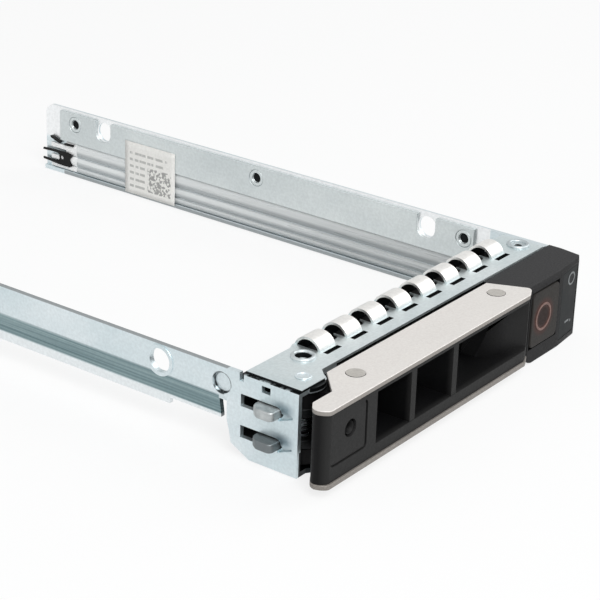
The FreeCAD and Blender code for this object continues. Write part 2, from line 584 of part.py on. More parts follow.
# Lever: two metal plates on a black moulded grille with a hub round the pin
lever_outline = [
    ("lever_left + 1.6", "-notch_front"), ("lever_left", "-notch_front - 1.1"), ("lever_left", "-lever_front + 1.2"),
    ("lever_left + 1.0", "-lever_front"), ("lever_end - lever_nose", "-lever_front"),
    ("lever_end", "-lever_front + 1.2"), ("slant_rear", "lever_rear"), ("pivot_x + hub_radius + 0.4", "lever_rear"),
    ("pivot_x - notch_left", "-notch_front")]
grille_outline = [
    ("lever_left + 1.6", "-notch_front - 0.1"), ("lever_left + 0.1", "-notch_front - 1.1"),
    ("lever_left + 0.1", "grille_front + 1.1"), ("lever_left + 1.1", "grille_front"),
    ("lever_end - lever_nose", "grille_front"), ("lever_end - 0.2", "grille_front + 1.0"),
    ("slant_rear - 0.1", "lever_rear_edge"), ("pivot_x + hub_radius + 0.5", "lever_rear_edge"),
    ("pivot_x - notch_left + 0.1", "-notch_front - 0.1")]
studs = [disc(middle, "-stud_y", "stud_radius + fixed_gap") for middle in ("stud_left", "stud_right")]
for name, foot in (("lever_top_plate", "grille_top"), ("lever_bottom_plate", "lever_bottom")):
    plate = new_body(name)
    pad(plate, "XY", foot, f"{foot} + lever_plate", lever_outline)
    soften(plate, "Z", [("lever_end", "-lever_front + 1.2"), ("lever_left + 1.0", "-lever_front")], "0.9")
    cut(plate, "XY", f"{foot} - 1", f"{foot} + lever_plate + 1", *studs)

grille = new_body("lever_grille")
pad(grille, "XY", "grille_bottom", "grille_top", grille_outline)
cut(grille, "XZ", "grille_front - 1", "lever_rear + 1", [
    ("window_left", "window_foot"), ("window_right", "window_foot"),
    ("window_right + window_lean", "window_head"), ("window_left", "window_head")])
rib = pad(grille, "XZ", "grille_front + rib_setback", "lever_rear_edge",
          block("rib_first", "window_foot - 0.2", "rib_first + rib_width", "window_head + 0.2"))
repeat(grille, [rib], "X", "rib_pitch", "2")
pad(grille, "XY", "hub_bottom", "hub_top", disc("pivot_x", "pivot_y", "hub_radius"))
pad(grille, "XY", "grille_bottom", "hub_top", [
    ("pivot_x + arm_side", "-notch_front - 0.6"), ("pivot_x + hub_radius + 1.2", "-notch_front - 0.6"),
    ("pivot_x + hub_radius + 1.2", "lever_rear_edge"), ("pivot_x + hub_radius", "pivot_y"),
    ("pivot_x + arm_side", "pivot_y")])
cut(grille, "XZ", "grille_front - 1", "grille_front + panel_depth",
    block("panel_left", "panel_foot", "panel_right", "panel_head"))
soften(grille, "Y", [("panel_left", "panel_foot"), ("panel_left", "panel_head"), ("panel_right", "panel_foot"),
                     ("panel_right", "panel_head")], "0.8")
cut(grille, "XZ", "grille_front - 1", "grille_front + 1.6", disc("panel_hole_x", "panel_hole_z", "panel_hole"))
cut(grille, "XY", "grille_bottom - 1", "grille_top + 1", *studs)
cut(grille, "XY", "hub_bottom - 1", "hub_top + 1", disc("pivot_x", "pivot_y", "pin_radius + running_gap"))
cut(grille, "XY", "lower_hook_foot", "upper_hook_foot + hook_width",
    disc("pivot_x", "pivot_y", "hub_radius + fixed_gap"))
cut(grille, "YZ", "catch_tip - catch_gap * 2", "lever_end",
    block("-catch_gap", "keeper_foot", "lever_rear + 1", "keeper_foot + catch_height + 2 * catch_gap"))

# Two studs through the lever's plates and grille
stud_pair = new_body("lever_studs")
pad(stud_pair, "XY", "lever_bottom", "lever_top + 0.05",
    *[disc(middle, "-stud_y", "stud_radius") for middle in ("stud_left", "stud_right")])

# Two hooks that reach out through the slots of the side plate
for name, foot in (("upper_hook", "upper_hook_foot"), ("lower_hook", "lower_hook_foot")):
    hook = new_body(name)
    pad(hook, "XY", foot, f"{foot} + hook_width", disc("pivot_x", "pivot_y", "hub_radius"))
    pad(hook, "XY", foot, f"{foot} + hook_width", [
        ("pivot_x", "pivot_y + hook_front"), ("hook_tip", "pivot_y + hook_front"),
        ("hook_tip", "pivot_y + hook_rear - 1.4"), ("hook_tip + 1.0", "pivot_y + hook_rear"),
        ("left_in + 0.3", "pivot_y + hook_rear"),
        ("pivot_x - 1.0", "pivot_y + hub_radius - 0.4"), ("pivot_x", "pivot_y + hub_radius - 0.4")])
    soften(hook, "Z", [("hook_tip", "pivot_y + hook_front"), ("hook_tip", "pivot_y + hook_rear - 1.4")],
           "hook_tip_radius")
    cut(hook, "XY", f"{foot} - 1", f"{foot} + hook_width + 1",
        disc("pivot_x", "pivot_y", "pin_radius + running_gap"))

# Torsion spring round the pin, between the two hooks
coil("lever_spring", "spring_radius", "spring_wire", "upper_hook_foot - lower_hook_foot - hook_width", "spring_turns",
     "pivot_x", "pivot_y", "lower_hook_foot + hook_width + spring_wire", False)

# Bezel: block with the button and lamp window, and the vented frame behind the lever
bezel = new_body("bezel_housing")
pad(bezel, "XY", "0", "block_top", [
    ("block_tip", "-block_front"), ("facet_left", "-block_front"), ("facet_right", "-block_front + facet_turn"),
    ("block_side - 0.6", "-block_front + facet_turn + 0.8"), ("block_side", "0"),
    ("block_side", "floor_front - 0.1"), ("block_heel", "floor_front - 0.1")])
pad(bezel, "XZ", "floor_front - 0.1", "cover_front - 0.05",
    block("block_heel", "tab_bottom", "block_side", "block_top"))
pad(bezel, "XZ", "floor_front - 0.1", "frame_rear", block("frame_left", "sheet", "frame_right", "tab_bottom"))
cut(bezel, "XZ", "-block_front - 1", "floor_front - 0.1",
    [("lever_end - 4", "-1"), ("block_tip + 1.6", "-1"), ("block_tip + 1.6", "0"), ("block_tip + 0.7", "0.3"),
     ("block_tip", "0.9"), ("lever_end - 4", "3.6")])
soften(bezel, "X", [("-block_front", "block_top")], "block_chamfer", "Chamfer")
vents = [("window_left + 1", "rib_first - 0.3"), ("rib_first + rib_width + 0.3", "rib_first + rib_pitch - 0.3"),
         ("rib_first + rib_pitch + rib_width + 0.3", "window_right + 0.6")]
for left, right in vents:
    cut(bezel, "XZ", "floor_front - 1", "frame_rear + 1", block(left, "window_foot", right, "window_head - 1"))
pad(bezel, "XY", "tab_bottom - deck", "tab_bottom",
    block("tab_inner + 0.3", "frame_rear", "tab_right - 0.3", "deck_rear"))
for x, y in (("eyelet_left_x", "eyelet_left_y"), ("eyelet_right_x", "eyelet_right_y")):
    pad(bezel, "XY", "sheet", "tab_bottom", disc(x, y, "boss_radius"))
    pad(bezel, "XY", "sheet", "tab_bottom",
        block(f"{x} - 0.6", "frame_rear", f"{x} + 0.6", f"{y} - boss_radius / 2"))
    cut(bezel, "XY", "cover_top - eyelet_length - 0.3", "tab_bottom + 0.01",
        disc(x, y, "eyelet_shank + fixed_gap"))
cut(bezel, "XZ", "-block_front - 1", "bay_rear", block(
    "button_left - button_gap", "button_foot - button_gap", "button_right + button_gap", "button_head + button_gap"))
cut(bezel, "YZ", "lever_end - lever_slant - 1", "button_left", block(
    "-catch_gap", "catch_foot - catch_gap", "catch_width + catch_gap", "catch_foot + catch_height + catch_gap"))
cut(bezel, "YZ", "button_right", "coil_end", block(
    "-catch_gap * 2", "catch_foot - catch_gap", "catch_width + catch_gap", "catch_foot + catch_height + catch_gap"))
lamp_outline = [
    ("lamp_left", "-block_front + 0.03"), ("lamp_right", "-block_front + facet_turn"),
    ("lamp_right", "-block_front + facet_turn + lamp_depth"), ("lamp_left", "-block_front + lamp_depth")]
cut(bezel, "XY", "lamp_foot - 0.05", "lamp_head + 0.05", [
    ("lamp_left - 0.05", "-block_front - 1"), ("lamp_right + 0.05", "-block_front - 1"),
    ("lamp_right + 0.05", "-block_front + facet_turn + lamp_depth"),
    ("lamp_left - 0.05", "-block_front + lamp_depth")])
cut(bezel, "XY", "lamp_foot - 0.25", "lamp_head - 0.6", block(
    "guide_head_left - 0.2", "-guide_front - 0.6", "right_in + 0.1", "-guide_front + guide_head + 0.2"))
cut(bezel, "XZ", "-guide_front", "cover_front + 1",
    block("guide_inner - 0.1", "lamp_foot - 0.25", "right_in + 0.1", "inner_foot + 0.1"))

# Lamp window in the bezel's slanted facet
lamp = new_body("lamp_window")
pad(lamp, "XY", "lamp_foot", "lamp_head", lamp_outline)

# Release button with its printed ring
button = new_body("release_button")
pad(button, "XZ", "button_face", "button_back", block("button_left", "button_foot", "button_right", "button_head"))
soften(button, "Y", [("button_left", "button_foot"), ("button_left", "button_head"), ("button_right", "button_foot"),
                     ("button_right", "button_head")], "button_corner")
pad(button, "XY", "fin_foot", "fin_head", [
    ("button_left + 0.5", "button_back"), ("wedge_line - button_back", "button_back"),
    ("wedge_line + fin_rear", "-fin_rear"), ("button_left + 0.5", "-fin_rear")])

ring = new_body("button_ring")
pad(ring, "XZ", "button_face - ring_rise", "button_face",
    disc("ring_x", "ring_z", "ring_outer"), disc("ring_x", "ring_z", "ring_inner"))

# Sliding catch that the button's wedge pushes aside, and its spring
catch = new_body("latch_catch")
pad(catch, "XY", "catch_foot", "catch_foot + catch_height", [
    ("catch_tip + 0.6", "0"), ("catch_end", "0"), ("catch_end", "catch_width"), ("catch_tip", "catch_width"),
    ("catch_tip", "0.6")])
pad(catch, "XY", "catch_foot + catch_height", "fin_head", [
    ("wedge_face + wedge_front", "-wedge_front"), ("catch_end", "-wedge_front"), ("catch_end", "catch_width"),
    ("wedge_face - catch_width", "catch_width")])
coil("catch_spring", "coil_radius", "coil_wire", "coil_end - catch_end", "coil_turns",
     "catch_end + coil_wire", "catch_width / 2", "catch_foot + catch_height / 2", True)

# Light guides along the foot of the right rail, from the lamp window to their rear tips
guide_bands = [
    ("light_guide_lower", "(sheet + 0.02)", "lower_guide_top", "lower_guide_top"),
    ("light_guide_middle", "(lower_guide_top + guide_gap)", "middle_guide_top", "middle_guide_top"),
    ("light_guide_upper", "(middle_guide_top + guide_gap)", "(inner_foot - 0.05)", "(lamp_head - 0.8)")]
holder = new_body("light_guide_holder")
pad(holder, "XZ", "guide_rear + guide_gap", "guide_rear + holder_depth",
    block("guide_inner - holder_cheek", "sheet", "right_in", "inner_foot - 0.1"))
for name, foot, head, front_head in guide_bands:
    guide = new_body(name)
    middle = f"(({foot} + {head}) / 2)"
    pad(guide, "YZ", "guide_inner", "right_in", block("-guide_front", foot, "guide_rear", head))
    pad(guide, "YZ", "guide_inner", "right_in",
        block("guide_rear", f"{middle} - tail_height / 2", "guide_tail", f"{middle} + tail_height / 2"))
    pad(guide, "XZ", "-guide_front", "-guide_front + guide_head",
        block("guide_head_left", foot, "right_in", front_head))
    cut(holder, "XZ", "guide_rear", "guide_rear + holder_depth + 1", block(
        "guide_inner - 0.02", f"{middle} - tail_height / 2 - 0.05",
        "right_in + 1", f"{middle} + tail_height / 2 + 0.05"))
for middle in ("lower_guide_top + guide_gap / 2", "middle_guide_top + guide_gap / 2", "inner_foot - 0.35"):
    pad(holder, "XZ", "guide_rear + holder_depth", "guide_tail + 0.4",
        block("guide_inner - holder_cheek", f"{middle} - finger / 2", "right_in", f"{middle} + finger / 2"))

# Label on the inner plate and the light guides
label = new_body("side_label")
pad(label, "YZ", "half_bay - label_film", "half_bay", block("label_front", "label_bottom", "label_rear", "label_top"))

doc.recompute()
for item in doc.Objects:
    bad = [state for state in item.State if state in ("Invalid", "Error")]
    if bad:
        raise RuntimeError(f"{item.Label} is {bad}")
triangles = 0
for item in doc.Objects:
    if item.TypeId == "PartDesign::Body" or item.TypeId == "Part::Feature":
        shape = item.Shape
        if shape.isNull() or not shape.isValid():
            raise RuntimeError(f"{item.Label} has no valid shape")
        shape.exportStep(f"parts/{item.Label}.step")
        facets = len(shape.tessellate(0.05)[1])
        triangles += facets
        box = shape.BoundBox
        print(f"{item.Label}: {len(shape.Solids)} solids, {shape.Volume:.1f} mm3, {facets} facets,",
              f"X {box.XMin:.2f} {box.XMax:.2f} Y {box.YMin:.2f} {box.YMax:.2f} Z {box.ZMin:.2f} {box.ZMax:.2f}")
print("facets in all", triangles)
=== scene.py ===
import json
import math

import bmesh
import bpy
from mathutils import Matrix, Vector


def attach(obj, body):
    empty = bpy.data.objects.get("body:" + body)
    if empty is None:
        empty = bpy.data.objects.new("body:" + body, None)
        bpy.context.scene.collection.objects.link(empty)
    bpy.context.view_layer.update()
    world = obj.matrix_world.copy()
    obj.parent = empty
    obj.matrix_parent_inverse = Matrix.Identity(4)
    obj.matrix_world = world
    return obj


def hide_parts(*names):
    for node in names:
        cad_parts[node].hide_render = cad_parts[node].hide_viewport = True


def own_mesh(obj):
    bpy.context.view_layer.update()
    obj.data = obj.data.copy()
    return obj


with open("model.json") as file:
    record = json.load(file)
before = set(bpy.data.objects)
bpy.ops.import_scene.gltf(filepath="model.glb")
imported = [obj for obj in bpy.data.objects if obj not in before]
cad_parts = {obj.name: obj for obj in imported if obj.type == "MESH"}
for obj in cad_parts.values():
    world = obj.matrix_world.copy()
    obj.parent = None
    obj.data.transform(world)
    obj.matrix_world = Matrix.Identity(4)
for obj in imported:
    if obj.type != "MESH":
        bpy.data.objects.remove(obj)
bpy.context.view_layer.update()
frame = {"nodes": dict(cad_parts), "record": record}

mm = 0.001
far = 130.0    # past every end of the caddy, in millimetres
close = 0.02   # millimetres within which two places count as one
welds = {"cadPoints": 0.002, "spunPoints": 0.001, "cutPoints": 0.0001}  # millimetres for merging points
nodes = frame["nodes"]
record = frame["record"]
bodyOf = {node: body for body, members in record["behaviour"]["bodies"].items() for node in members}
scene = bpy.context.scene
print("frame loaded with", len(nodes), "nodes")


# Helpers for the finishes

def toLinear(hexColour):
    channels = [int(hexColour[place:place + 2], 16) / 255 for place in (0, 2, 4)]
    return tuple(c / 12.92 if c <= 0.04045 else ((c + 0.055) / 1.055) ** 2.4 for c in channels) + (1.0,)


def addNode(tree, kind, sockets=None, **settings):
    node = tree.nodes.new(kind)
    for name, value in settings.items():
        setattr(node, name, value)
    for name, value in (sockets or {}).items():
        if isinstance(value, bpy.types.NodeSocket):
            tree.links.new(value, node.inputs[name])
        else:
            node.inputs[name].default_value = value
    return node


def newFinish(name, shaderValues):
    finish = bpy.data.materials.new(name)
    finish.use_nodes = True
    tree = finish.node_tree
    shader = tree.nodes["Principled BSDF"]
    for socket, value in shaderValues.items():
        shader.inputs[socket].default_value = value
    place = addNode(tree, "ShaderNodeTexCoord").outputs["Object"]
    return finish, tree, shader, place


def noiseAt(tree, place, sizes, detail=3.0, rough=0.55):
    # sizes are the pattern's real lengths along X, Y and Z in millimetres
    scaled = addNode(tree, "ShaderNodeMapping", {"Vector": place, "Scale": [1 / (s * mm) for s in sizes]})
    return addNode(tree, "ShaderNodeTexNoise", {"Vector": scaled.outputs[0], "Scale": 1.0, "Detail": detail,
                                                "Roughness": rough}).outputs["Fac"]


def painted(tree, tone, mask, colour):
    # Lays a colour over a tone where the mask is 1
    return addNode(tree, "ShaderNodeMix", {"Factor": mask, 6: tone, 7: colour}, data_type="RGBA").outputs[2]


def twoTone(tree, pattern, first, second, low=0.3, high=0.7):
    # Swings from the first hex colour to the second as the pattern goes from low to high
    share = addNode(tree, "ShaderNodeMapRange", {"Value": pattern, "From Min": low, "From Max": high})
    return painted(tree, toLinear(first), share.outputs[0], toLinear(second))


def overlap(tree, *masks):
    result = masks[0]
    for mask in masks[1:]:
        result = addNode(tree, "ShaderNodeMath", {0: result, 1: mask}, operation="MULTIPLY").outputs[0]
    return result


def eitherOf(tree, *masks):
    result = masks[0]
    for mask in masks[1:]:
        result = addNode(tree, "ShaderNodeMath", {0: result, 1: mask}, operation="MAXIMUM").outputs[0]
    return result


def within(tree, value, low, high, soft=0.05):
    # 1 between two places in millimetres, with soft edges
    rise = addNode(tree, "ShaderNodeMapRange", {"Value": value, "From Min": (low - soft) * mm,
                                                "From Max": (low + soft) * mm})
    fall = addNode(tree, "ShaderNodeMapRange", {"Value": value, "From Min": (high - soft) * mm,
                                                "From Max": (high + soft) * mm, "To Min": 1.0, "To Max": 0.0})
    return overlap(tree, rise.outputs[0], fall.outputs[0])


def patchAt(tree, spot, patch):
    # 1 inside a box whose sides are given as from, to and softness in millimetres
    return overlap(tree, *[within(tree, spot[axis], *sides) for axis, sides in patch.items()])


def coat(tree, shader, tone, pattern, rough=None, relief=0.0, reliefFrom=None):
    # Links the colour, a roughness that follows the pattern, and a relief in millimetres
    tree.links.new(tone, shader.inputs["Base Color"])
    if rough:
        swing = addNode(tree, "ShaderNodeMapRange", {"Value": pattern, "From Min": 0.3, "From Max": 0.7,
                                                     "To Min": rough[0], "To Max": rough[1]})
        tree.links.new(swing.outputs[0], shader.inputs["Roughness"])
    if relief:
        bump = addNode(tree, "ShaderNodeBump", {"Height": reliefFrom or pattern, "Distance": relief * mm,
                                                "Strength": 1.0})
        tree.links.new(bump.outputs[0], shader.inputs["Normal"])


# Helpers for the shapes

def asPiece(shape, name, finish, body, replaced=(), bevel=0.0, bend=30, segments=2):
    mesh = bpy.data.meshes.new(name)
    for face in shape.faces:
        face.smooth = True
    shape.to_mesh(mesh)
    shape.free()
    for one in finish if isinstance(finish, tuple) else (finish,):
        mesh.materials.append(one)
    piece = bpy.data.objects.new(name, mesh)
    scene.collection.objects.link(piece)
    if bevel:
        edge = piece.modifiers.new("edge", "BEVEL")
        edge.width = bevel * mm
        edge.segments = segments
        edge.limit_method = "ANGLE"
        edge.angle_limit = math.radians(bend)
        piece.modifiers.new("even", "WEIGHTED_NORMAL").keep_sharp = True
    else:
        mesh.set_sharp_from_angle(angle=math.radians(bend))
    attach(piece, body)
    if replaced:
        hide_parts(*replaced)
    return piece


def mergedCopy(node):
    shape = bmesh.new()
    shape.from_mesh(nodes[node].data)
    bmesh.ops.remove_doubles(shape, verts=shape.verts, dist=welds["cadPoints"] * mm)
    bmesh.ops.dissolve_limit(shape, angle_limit=math.radians(1), verts=shape.verts, edges=shape.edges)
    return shape


def withEdges(node, finish, bevel, bend=30, reshape=None, segments=2):
    # A merged copy of the CAD piece with its real edge radius, after its own small changes of shape
    shape = mergedCopy(node)
    if reshape:
        shape = reshape(shape) or shape
    return asPiece(shape, node + "_edged", finish, bodyOf[node], (node,), bevel, bend, segments)


def extruded(outline, along):
    # A closed solid from a flat outline of points in millimetres, extruded by a vector in millimetres
    shape = bmesh.new()
    flat = shape.faces.new([shape.verts.new([c * mm for c in point]) for point in outline])
    grown = bmesh.ops.extrude_face_region(shape, geom=[flat], use_keep_orig=True)
    moved = [item for item in grown["geom"] if isinstance(item, bmesh.types.BMVert)]
    bmesh.ops.translate(shape, verts=moved, vec=[c * mm for c in along])
    bmesh.ops.recalc_face_normals(shape, faces=shape.faces)
    return shape


def carved(shape, cutter):
    # Boolean difference of two bmeshes
    made = []
    for part in (shape, cutter):
        mesh = bpy.data.meshes.new("carving")
        part.to_mesh(mesh)
        part.free()
        made.append(bpy.data.objects.new("carving", mesh))
        scene.collection.objects.link(made[-1])
    cut = made[0].modifiers.new("cut", "BOOLEAN")
    cut.object = made[1]
    cut.solver = "EXACT"
    result = bmesh.new()
    result.from_object(made[0], bpy.context.evaluated_depsgraph_get())
    for part in made:
        bpy.data.objects.remove(part)
    bmesh.ops.dissolve_limit(result, angle_limit=math.radians(1), verts=result.verts, edges=result.edges)
    return result


def spun(centre, profile, steps):
    # A closed ring of radius and height points in millimetres, spun once round an upright axis
    shape = bmesh.new()
    points = [shape.verts.new((radius * mm, 0, height * mm)) for radius, height in profile]
    lines = [shape.edges.new((points[place - 1], point)) for place, point in enumerate(points)]
    bmesh.ops.spin(shape, geom=points + lines, axis=(0, 0, 1), cent=(0, 0, 0), angle=math.radians(360),
                   steps=steps, use_merge=True)
    bmesh.ops.remove_doubles(shape, verts=shape.verts, dist=welds["spunPoints"] * mm)
    bmesh.ops.recalc_face_normals(shape, faces=shape.faces)
    bmesh.ops.translate(shape, verts=shape.verts, vec=[c * mm for c in centre])
    return shape


def rounded(centreR, centreZ, radius, first, last, steps=5):
    turns = [math.radians(first + (last - first) * step / steps) for step in range(steps + 1)]
    return [(centreR + radius * math.cos(turn), centreZ + radius * math.sin(turn)) for turn in turns]


def roundUprights(shape, limits, minBend, radius, segments, minHeight=0.4):
    # Rounds the upright edges left of the first limit and ahead of the second
    maxX, maxY = limits
    upright = [edge for edge in shape.edges
               if all(vert.co.x < maxX * mm and vert.co.y < maxY * mm for vert in edge.verts)
               and abs(edge.verts[0].co.z - edge.verts[1].co.z) > minHeight * mm
               and edge.calc_face_angle(0) > minBend]
    bmesh.ops.bevel(shape, geom=upright, offset=radius * mm, offset_type="OFFSET", segments=segments,
                    profile=0.5, affect="EDGES", material=-1, clamp_overlap=True)


# Finishes of the sheet metal

platedLook = {
    "traySheet": {"colour": "E3EBEE", "cool": "D0DDE1", "rough": (0.30, 0.44)},
    "innerPlate": {"colour": "D8DEDE", "cool": "CBD2D3", "rough": (0.36, 0.50)},
    "springCover": {"colour": "E2EAEB", "cool": "D0DCDE", "rough": (0.28, 0.40)},
    "rolledEyelet": {"colour": "CBD2D4", "cool": "BAC3C6", "rough": (0.38, 0.48)},
}
pressing = {"dentFace": -36.22, "dentLow": -36.1, "dentRear": 4.1, "sheetFace": -36.5,
            "slotMiddles": (4.3, 9.4), "markFace": -36.375, "markFloor": -36.0, "markMiddle": (14.5, 11.0),
            "markRadius": 1.75, "markRing": (1.45, 1.8, 0.08)}
trayPatches = {
    "band": {"X": (-36.49, -35.0), "Y": (13.5, far), "Z": (5.6, 9.02, 0.12)},
    "farRailHighlight": {"X": (34.0, 36.1), "Y": (13.5, far), "Z": (7.0, 20.0, 0.3)},
    "seamShade": {"X": (-36.6, -35.9), "Y": (-0.4, 11.2), "Z": (13.55, 13.96, 0.03)},
    "earEdge": {"X": (-36.2, 30.0), "Y": (-1.3, 0.3), "Z": (13.1, 13.82, 0.05)},
    "floorLip": {"X": (-36.1, -20.0), "Y": (-1.3, 2.0), "Z": (-1.0, 4.0)},
    "lowerLipHighlight": {"X": (-37.0, -34.0), "Y": (13.5, far), "Z": (3.0, 5.45, 0.06)},
    "markSide": {"X": (-36.6, -35.8)},
    "topEdge": {"X": (-40.0, 0.0), "Y": (13.5, far), "Z": (13.64, 20.0, 0.02)},
    "foot": {"X": (34.0, 40.0), "Y": (13.5, 113.6), "Z": (-1.0, 0.72, 0.12)},
}
coverPatches = {"strapTopHighlight": {"Z": (14.425, far, 0.275)},
                "frontEdgeShade": {"Y": (-0.5, 0.5, 0.02), "Z": (13.0, 14.02, 0.02)}}


def trayTone(tree, place, spot, tone):
    # Painted shade on the leaning band, streaked along its length
    streakedBandShade = twoTone(tree, noiseAt(tree, place, (0.5, 40, 0.35), 2.0), "5F787D", "93A7AA")
    tone = painted(tree, tone, patchAt(tree, spot, trayPatches["band"]), streakedBandShade)
    # A painted highlight makes the far rail near white
    tone = painted(tree, tone, patchAt(tree, spot, trayPatches["farRailHighlight"]), toLinear("F6F8F9"))
    # Painted shade in the gaps: along the bend under the cover's edge, at the ear's edge and at the floor lip
    broken = addNode(tree, "ShaderNodeMapRange", {"Value": noiseAt(tree, place, (1.5, 1.3, 9), 2.0),
                                                  "From Min": 0.4, "From Max": 0.5,
                                                  "To Min": 0.25, "To Max": 1.0})
    seamShade = overlap(tree, patchAt(tree, spot, trayPatches["seamShade"]), broken.outputs[0])
    gapShade = eitherOf(tree, seamShade, patchAt(tree, spot, trayPatches["earEdge"]),
                     patchAt(tree, spot, trayPatches["floorLip"]))
    tone = painted(tree, tone, gapShade, toLinear("1D2123"))
    # Painted shade in the dent above each hook slot
    for level in pressing["slotMiddles"]:
        dentShade = {"X": (-36.6, -35.9), "Y": (1.6, 4.6, 0.8), "Z": (level - 0.1, level + 1.7, 0.6)}
        tone = painted(tree, tone, patchAt(tree, spot, dentShade), toLinear("8DA0A8"))
    # A painted highlight along the lip below the leaning band
    tone = painted(tree, tone, patchAt(tree, spot, trayPatches["lowerLipHighlight"]), toLinear("E9EEF0"))
    # The stamped mark's rim carries a broken ring of painted shade
    flat = addNode(tree, "ShaderNodeCombineXYZ", {"Y": spot["Y"], "Z": spot["Z"]}).outputs[0]
    middle = (0, pressing["markMiddle"][0] * mm, pressing["markMiddle"][1] * mm)
    fromMark = addNode(tree, "ShaderNodeVectorMath", {0: flat, 1: middle}, operation="DISTANCE").outputs["Value"]
    paintedShading = addNode(tree, "ShaderNodeMapRange", {"Value": noiseAt(tree, place, (1.6, 1.6, 1.6), 1.0),
                                                "From Min": 0.42, "From Max": 0.55,
                                                "To Min": 0.1, "To Max": 0.95})
    ring = overlap(tree, within(tree, fromMark, *pressing["markRing"]),
                   patchAt(tree, spot, trayPatches["markSide"]), paintedShading.outputs[0])
    tone = painted(tree, tone, ring, toLinear("262C2E"))
    # The near rail's top edge and the far rail's foot are painted dark grey: raw steel of the sheared edges, with
    # painted shade
    shearedAndShaded = eitherOf(tree, patchAt(tree, spot, trayPatches["topEdge"]),
                       patchAt(tree, spot, trayPatches["foot"]))
    return painted(tree, tone, shearedAndShaded, toLinear("9DA3A5"))


def zincPlatedSteel(name):
    # Cold rolled sheet with clear zinc plating: satin, faintly blue, with a fine rolling grain and soft clouds
    look = platedLook[name]
    finish, tree, shader, place = newFinish("zinc plated steel, " + name, {"Metallic": 0.85})
    clouds = noiseAt(tree, place, (14, 22, 14), 4.0)
    grain = noiseAt(tree, place, (0.45, 5.0, 0.45), 2.0)  # 0.05 mm rolling grain, drawn coarser to show
    speckle = noiseAt(tree, place, (0.5, 0.5, 0.5), 2.0)
    tone = twoTone(tree, clouds, look["colour"], look["cool"], 0.35, 0.65)
    spot = addNode(tree, "ShaderNodeSeparateXYZ", {"Vector": place}).outputs
    if name == "traySheet":
        tone = trayTone(tree, place, spot, tone)
    if name == "springCover":
        # Painted highlight on the straps' tops, and painted shade on the front edge
        tone = painted(tree, tone, patchAt(tree, spot, coverPatches["strapTopHighlight"]), toLinear("F4F3F0"))
        tone = painted(tree, tone, patchAt(tree, spot, coverPatches["frontEdgeShade"]), toLinear("1D2123"))
    dust = addNode(tree, "ShaderNodeMapRange", {"Value": speckle, "From Min": 0.35, "From Max": 0.7,
                                                "To Min": 0.94, "To Max": 1.04}).outputs[0]
    toned = addNode(tree, "ShaderNodeVectorMath", {0: tone, 1: dust}, operation="MULTIPLY").outputs[0]
    coat(tree, shader, toned, grain, look["rough"], 0.004)
    return finish


# The bottom plate is the same steel as the top, its darker tones painted shade
plateLook = {"top": {"low": "DAD6D2", "high": "E3E0DC", "edge": "928D88"},
             "bottom": {"low": "7C7772", "high": "8B8681", "edge": "7C7772"},
             "edgeBand": {"Z": (13.2, 14.0, 0.03)}}


def blastedSteel(side):
    # Bead blasted and lacquered steel of the lever plates: matt and warm, with a fine even grit and darker
    # sheared edges; the bottom plate's darker tones are painted shade
    look = plateLook[side]
    finish, tree, shader, place = newFinish("bead blasted steel, " + side, {"Metallic": 0.35})
    spot = addNode(tree, "ShaderNodeSeparateXYZ", {"Vector": place}).outputs
    grit = noiseAt(tree, place, (0.35, 0.35, 0.35), 3.0)  # 0.1 mm grit, drawn coarser to show
    clouds = noiseAt(tree, place, (18, 6, 18), 3.0)
    tone = twoTone(tree, grit, look["low"], look["high"])
    tone = painted(tree, tone, patchAt(tree, spot, plateLook["edgeBand"]), toLinear(look["edge"]))
    coat(tree, shader, tone, clouds, (0.46, 0.6), 0.004, grit)
    return finish


def turnedSteel():
    # Stud ends, turned and left a little darker than the plates
    finish, tree, shader, place = newFinish("turned steel", {"Metallic": 0.6})
    rings = noiseAt(tree, place, (0.4, 0.4, 0.4), 3.0)
    coat(tree, shader, twoTone(tree, rings, "B3AFA9", "C6C3BD"), rings, (0.38, 0.52), 0.006)
    return finish


def paintedShadeSkin():
    # Near black, dull painted shade: weld rivet bottoms, eyelet bores, slit walls and the straps' inner faces
    finish, tree, shader, place = newFinish("painted shade steel", {"Metallic": 0.1, "Specular IOR Level": 0.1})
    scorch = noiseAt(tree, place, (0.5, 0.5, 0.5), 3.0)
    coat(tree, shader, twoTone(tree, scorch, "0A0C0D", "1C2022"), scorch, (0.5, 0.7))
    return finish


hookPatches = {"lowHookShade": {"Z": (-far, 6.75, 1.25)}, "insideShade": {"X": (-36.2, far, 0.4)}}


def castZinc():
    # Die cast hooks: dull grey skin with soft mottling; painted shade darkens the lower hook and the hooks' parts
    # inside the side plate
    finish, tree, shader, place = newFinish("die cast zinc", {"Metallic": 0.8})
    mottle = noiseAt(tree, place, (1.2, 1.2, 1.2), 4.0)
    spot = addNode(tree, "ShaderNodeSeparateXYZ", {"Vector": place}).outputs
    tone = twoTone(tree, mottle, "A4A9AA", "C4C8C8", 0.35, 0.65)
    tone = painted(tree, tone, patchAt(tree, spot, hookPatches["lowHookShade"]), toLinear("757B7D"))
    tone = painted(tree, tone, patchAt(tree, spot, hookPatches["insideShade"]), toLinear("1E2021"))
    coat(tree, shader, tone, mottle, (0.38, 0.55), 0.02)
    return finish


def springWire():
    # Drawn and phosphated spring wire with a dull oil film
    finish, tree, shader, place = newFinish("drawn spring wire", {"Metallic": 0.95})
    film = noiseAt(tree, place, (0.8, 0.8, 0.8), 3.0)
    coat(tree, shader, twoTone(tree, film, "1A1C1D", "2E3132"), film, (0.25, 0.42))
    return finish


# Finishes of the mouldings and prints

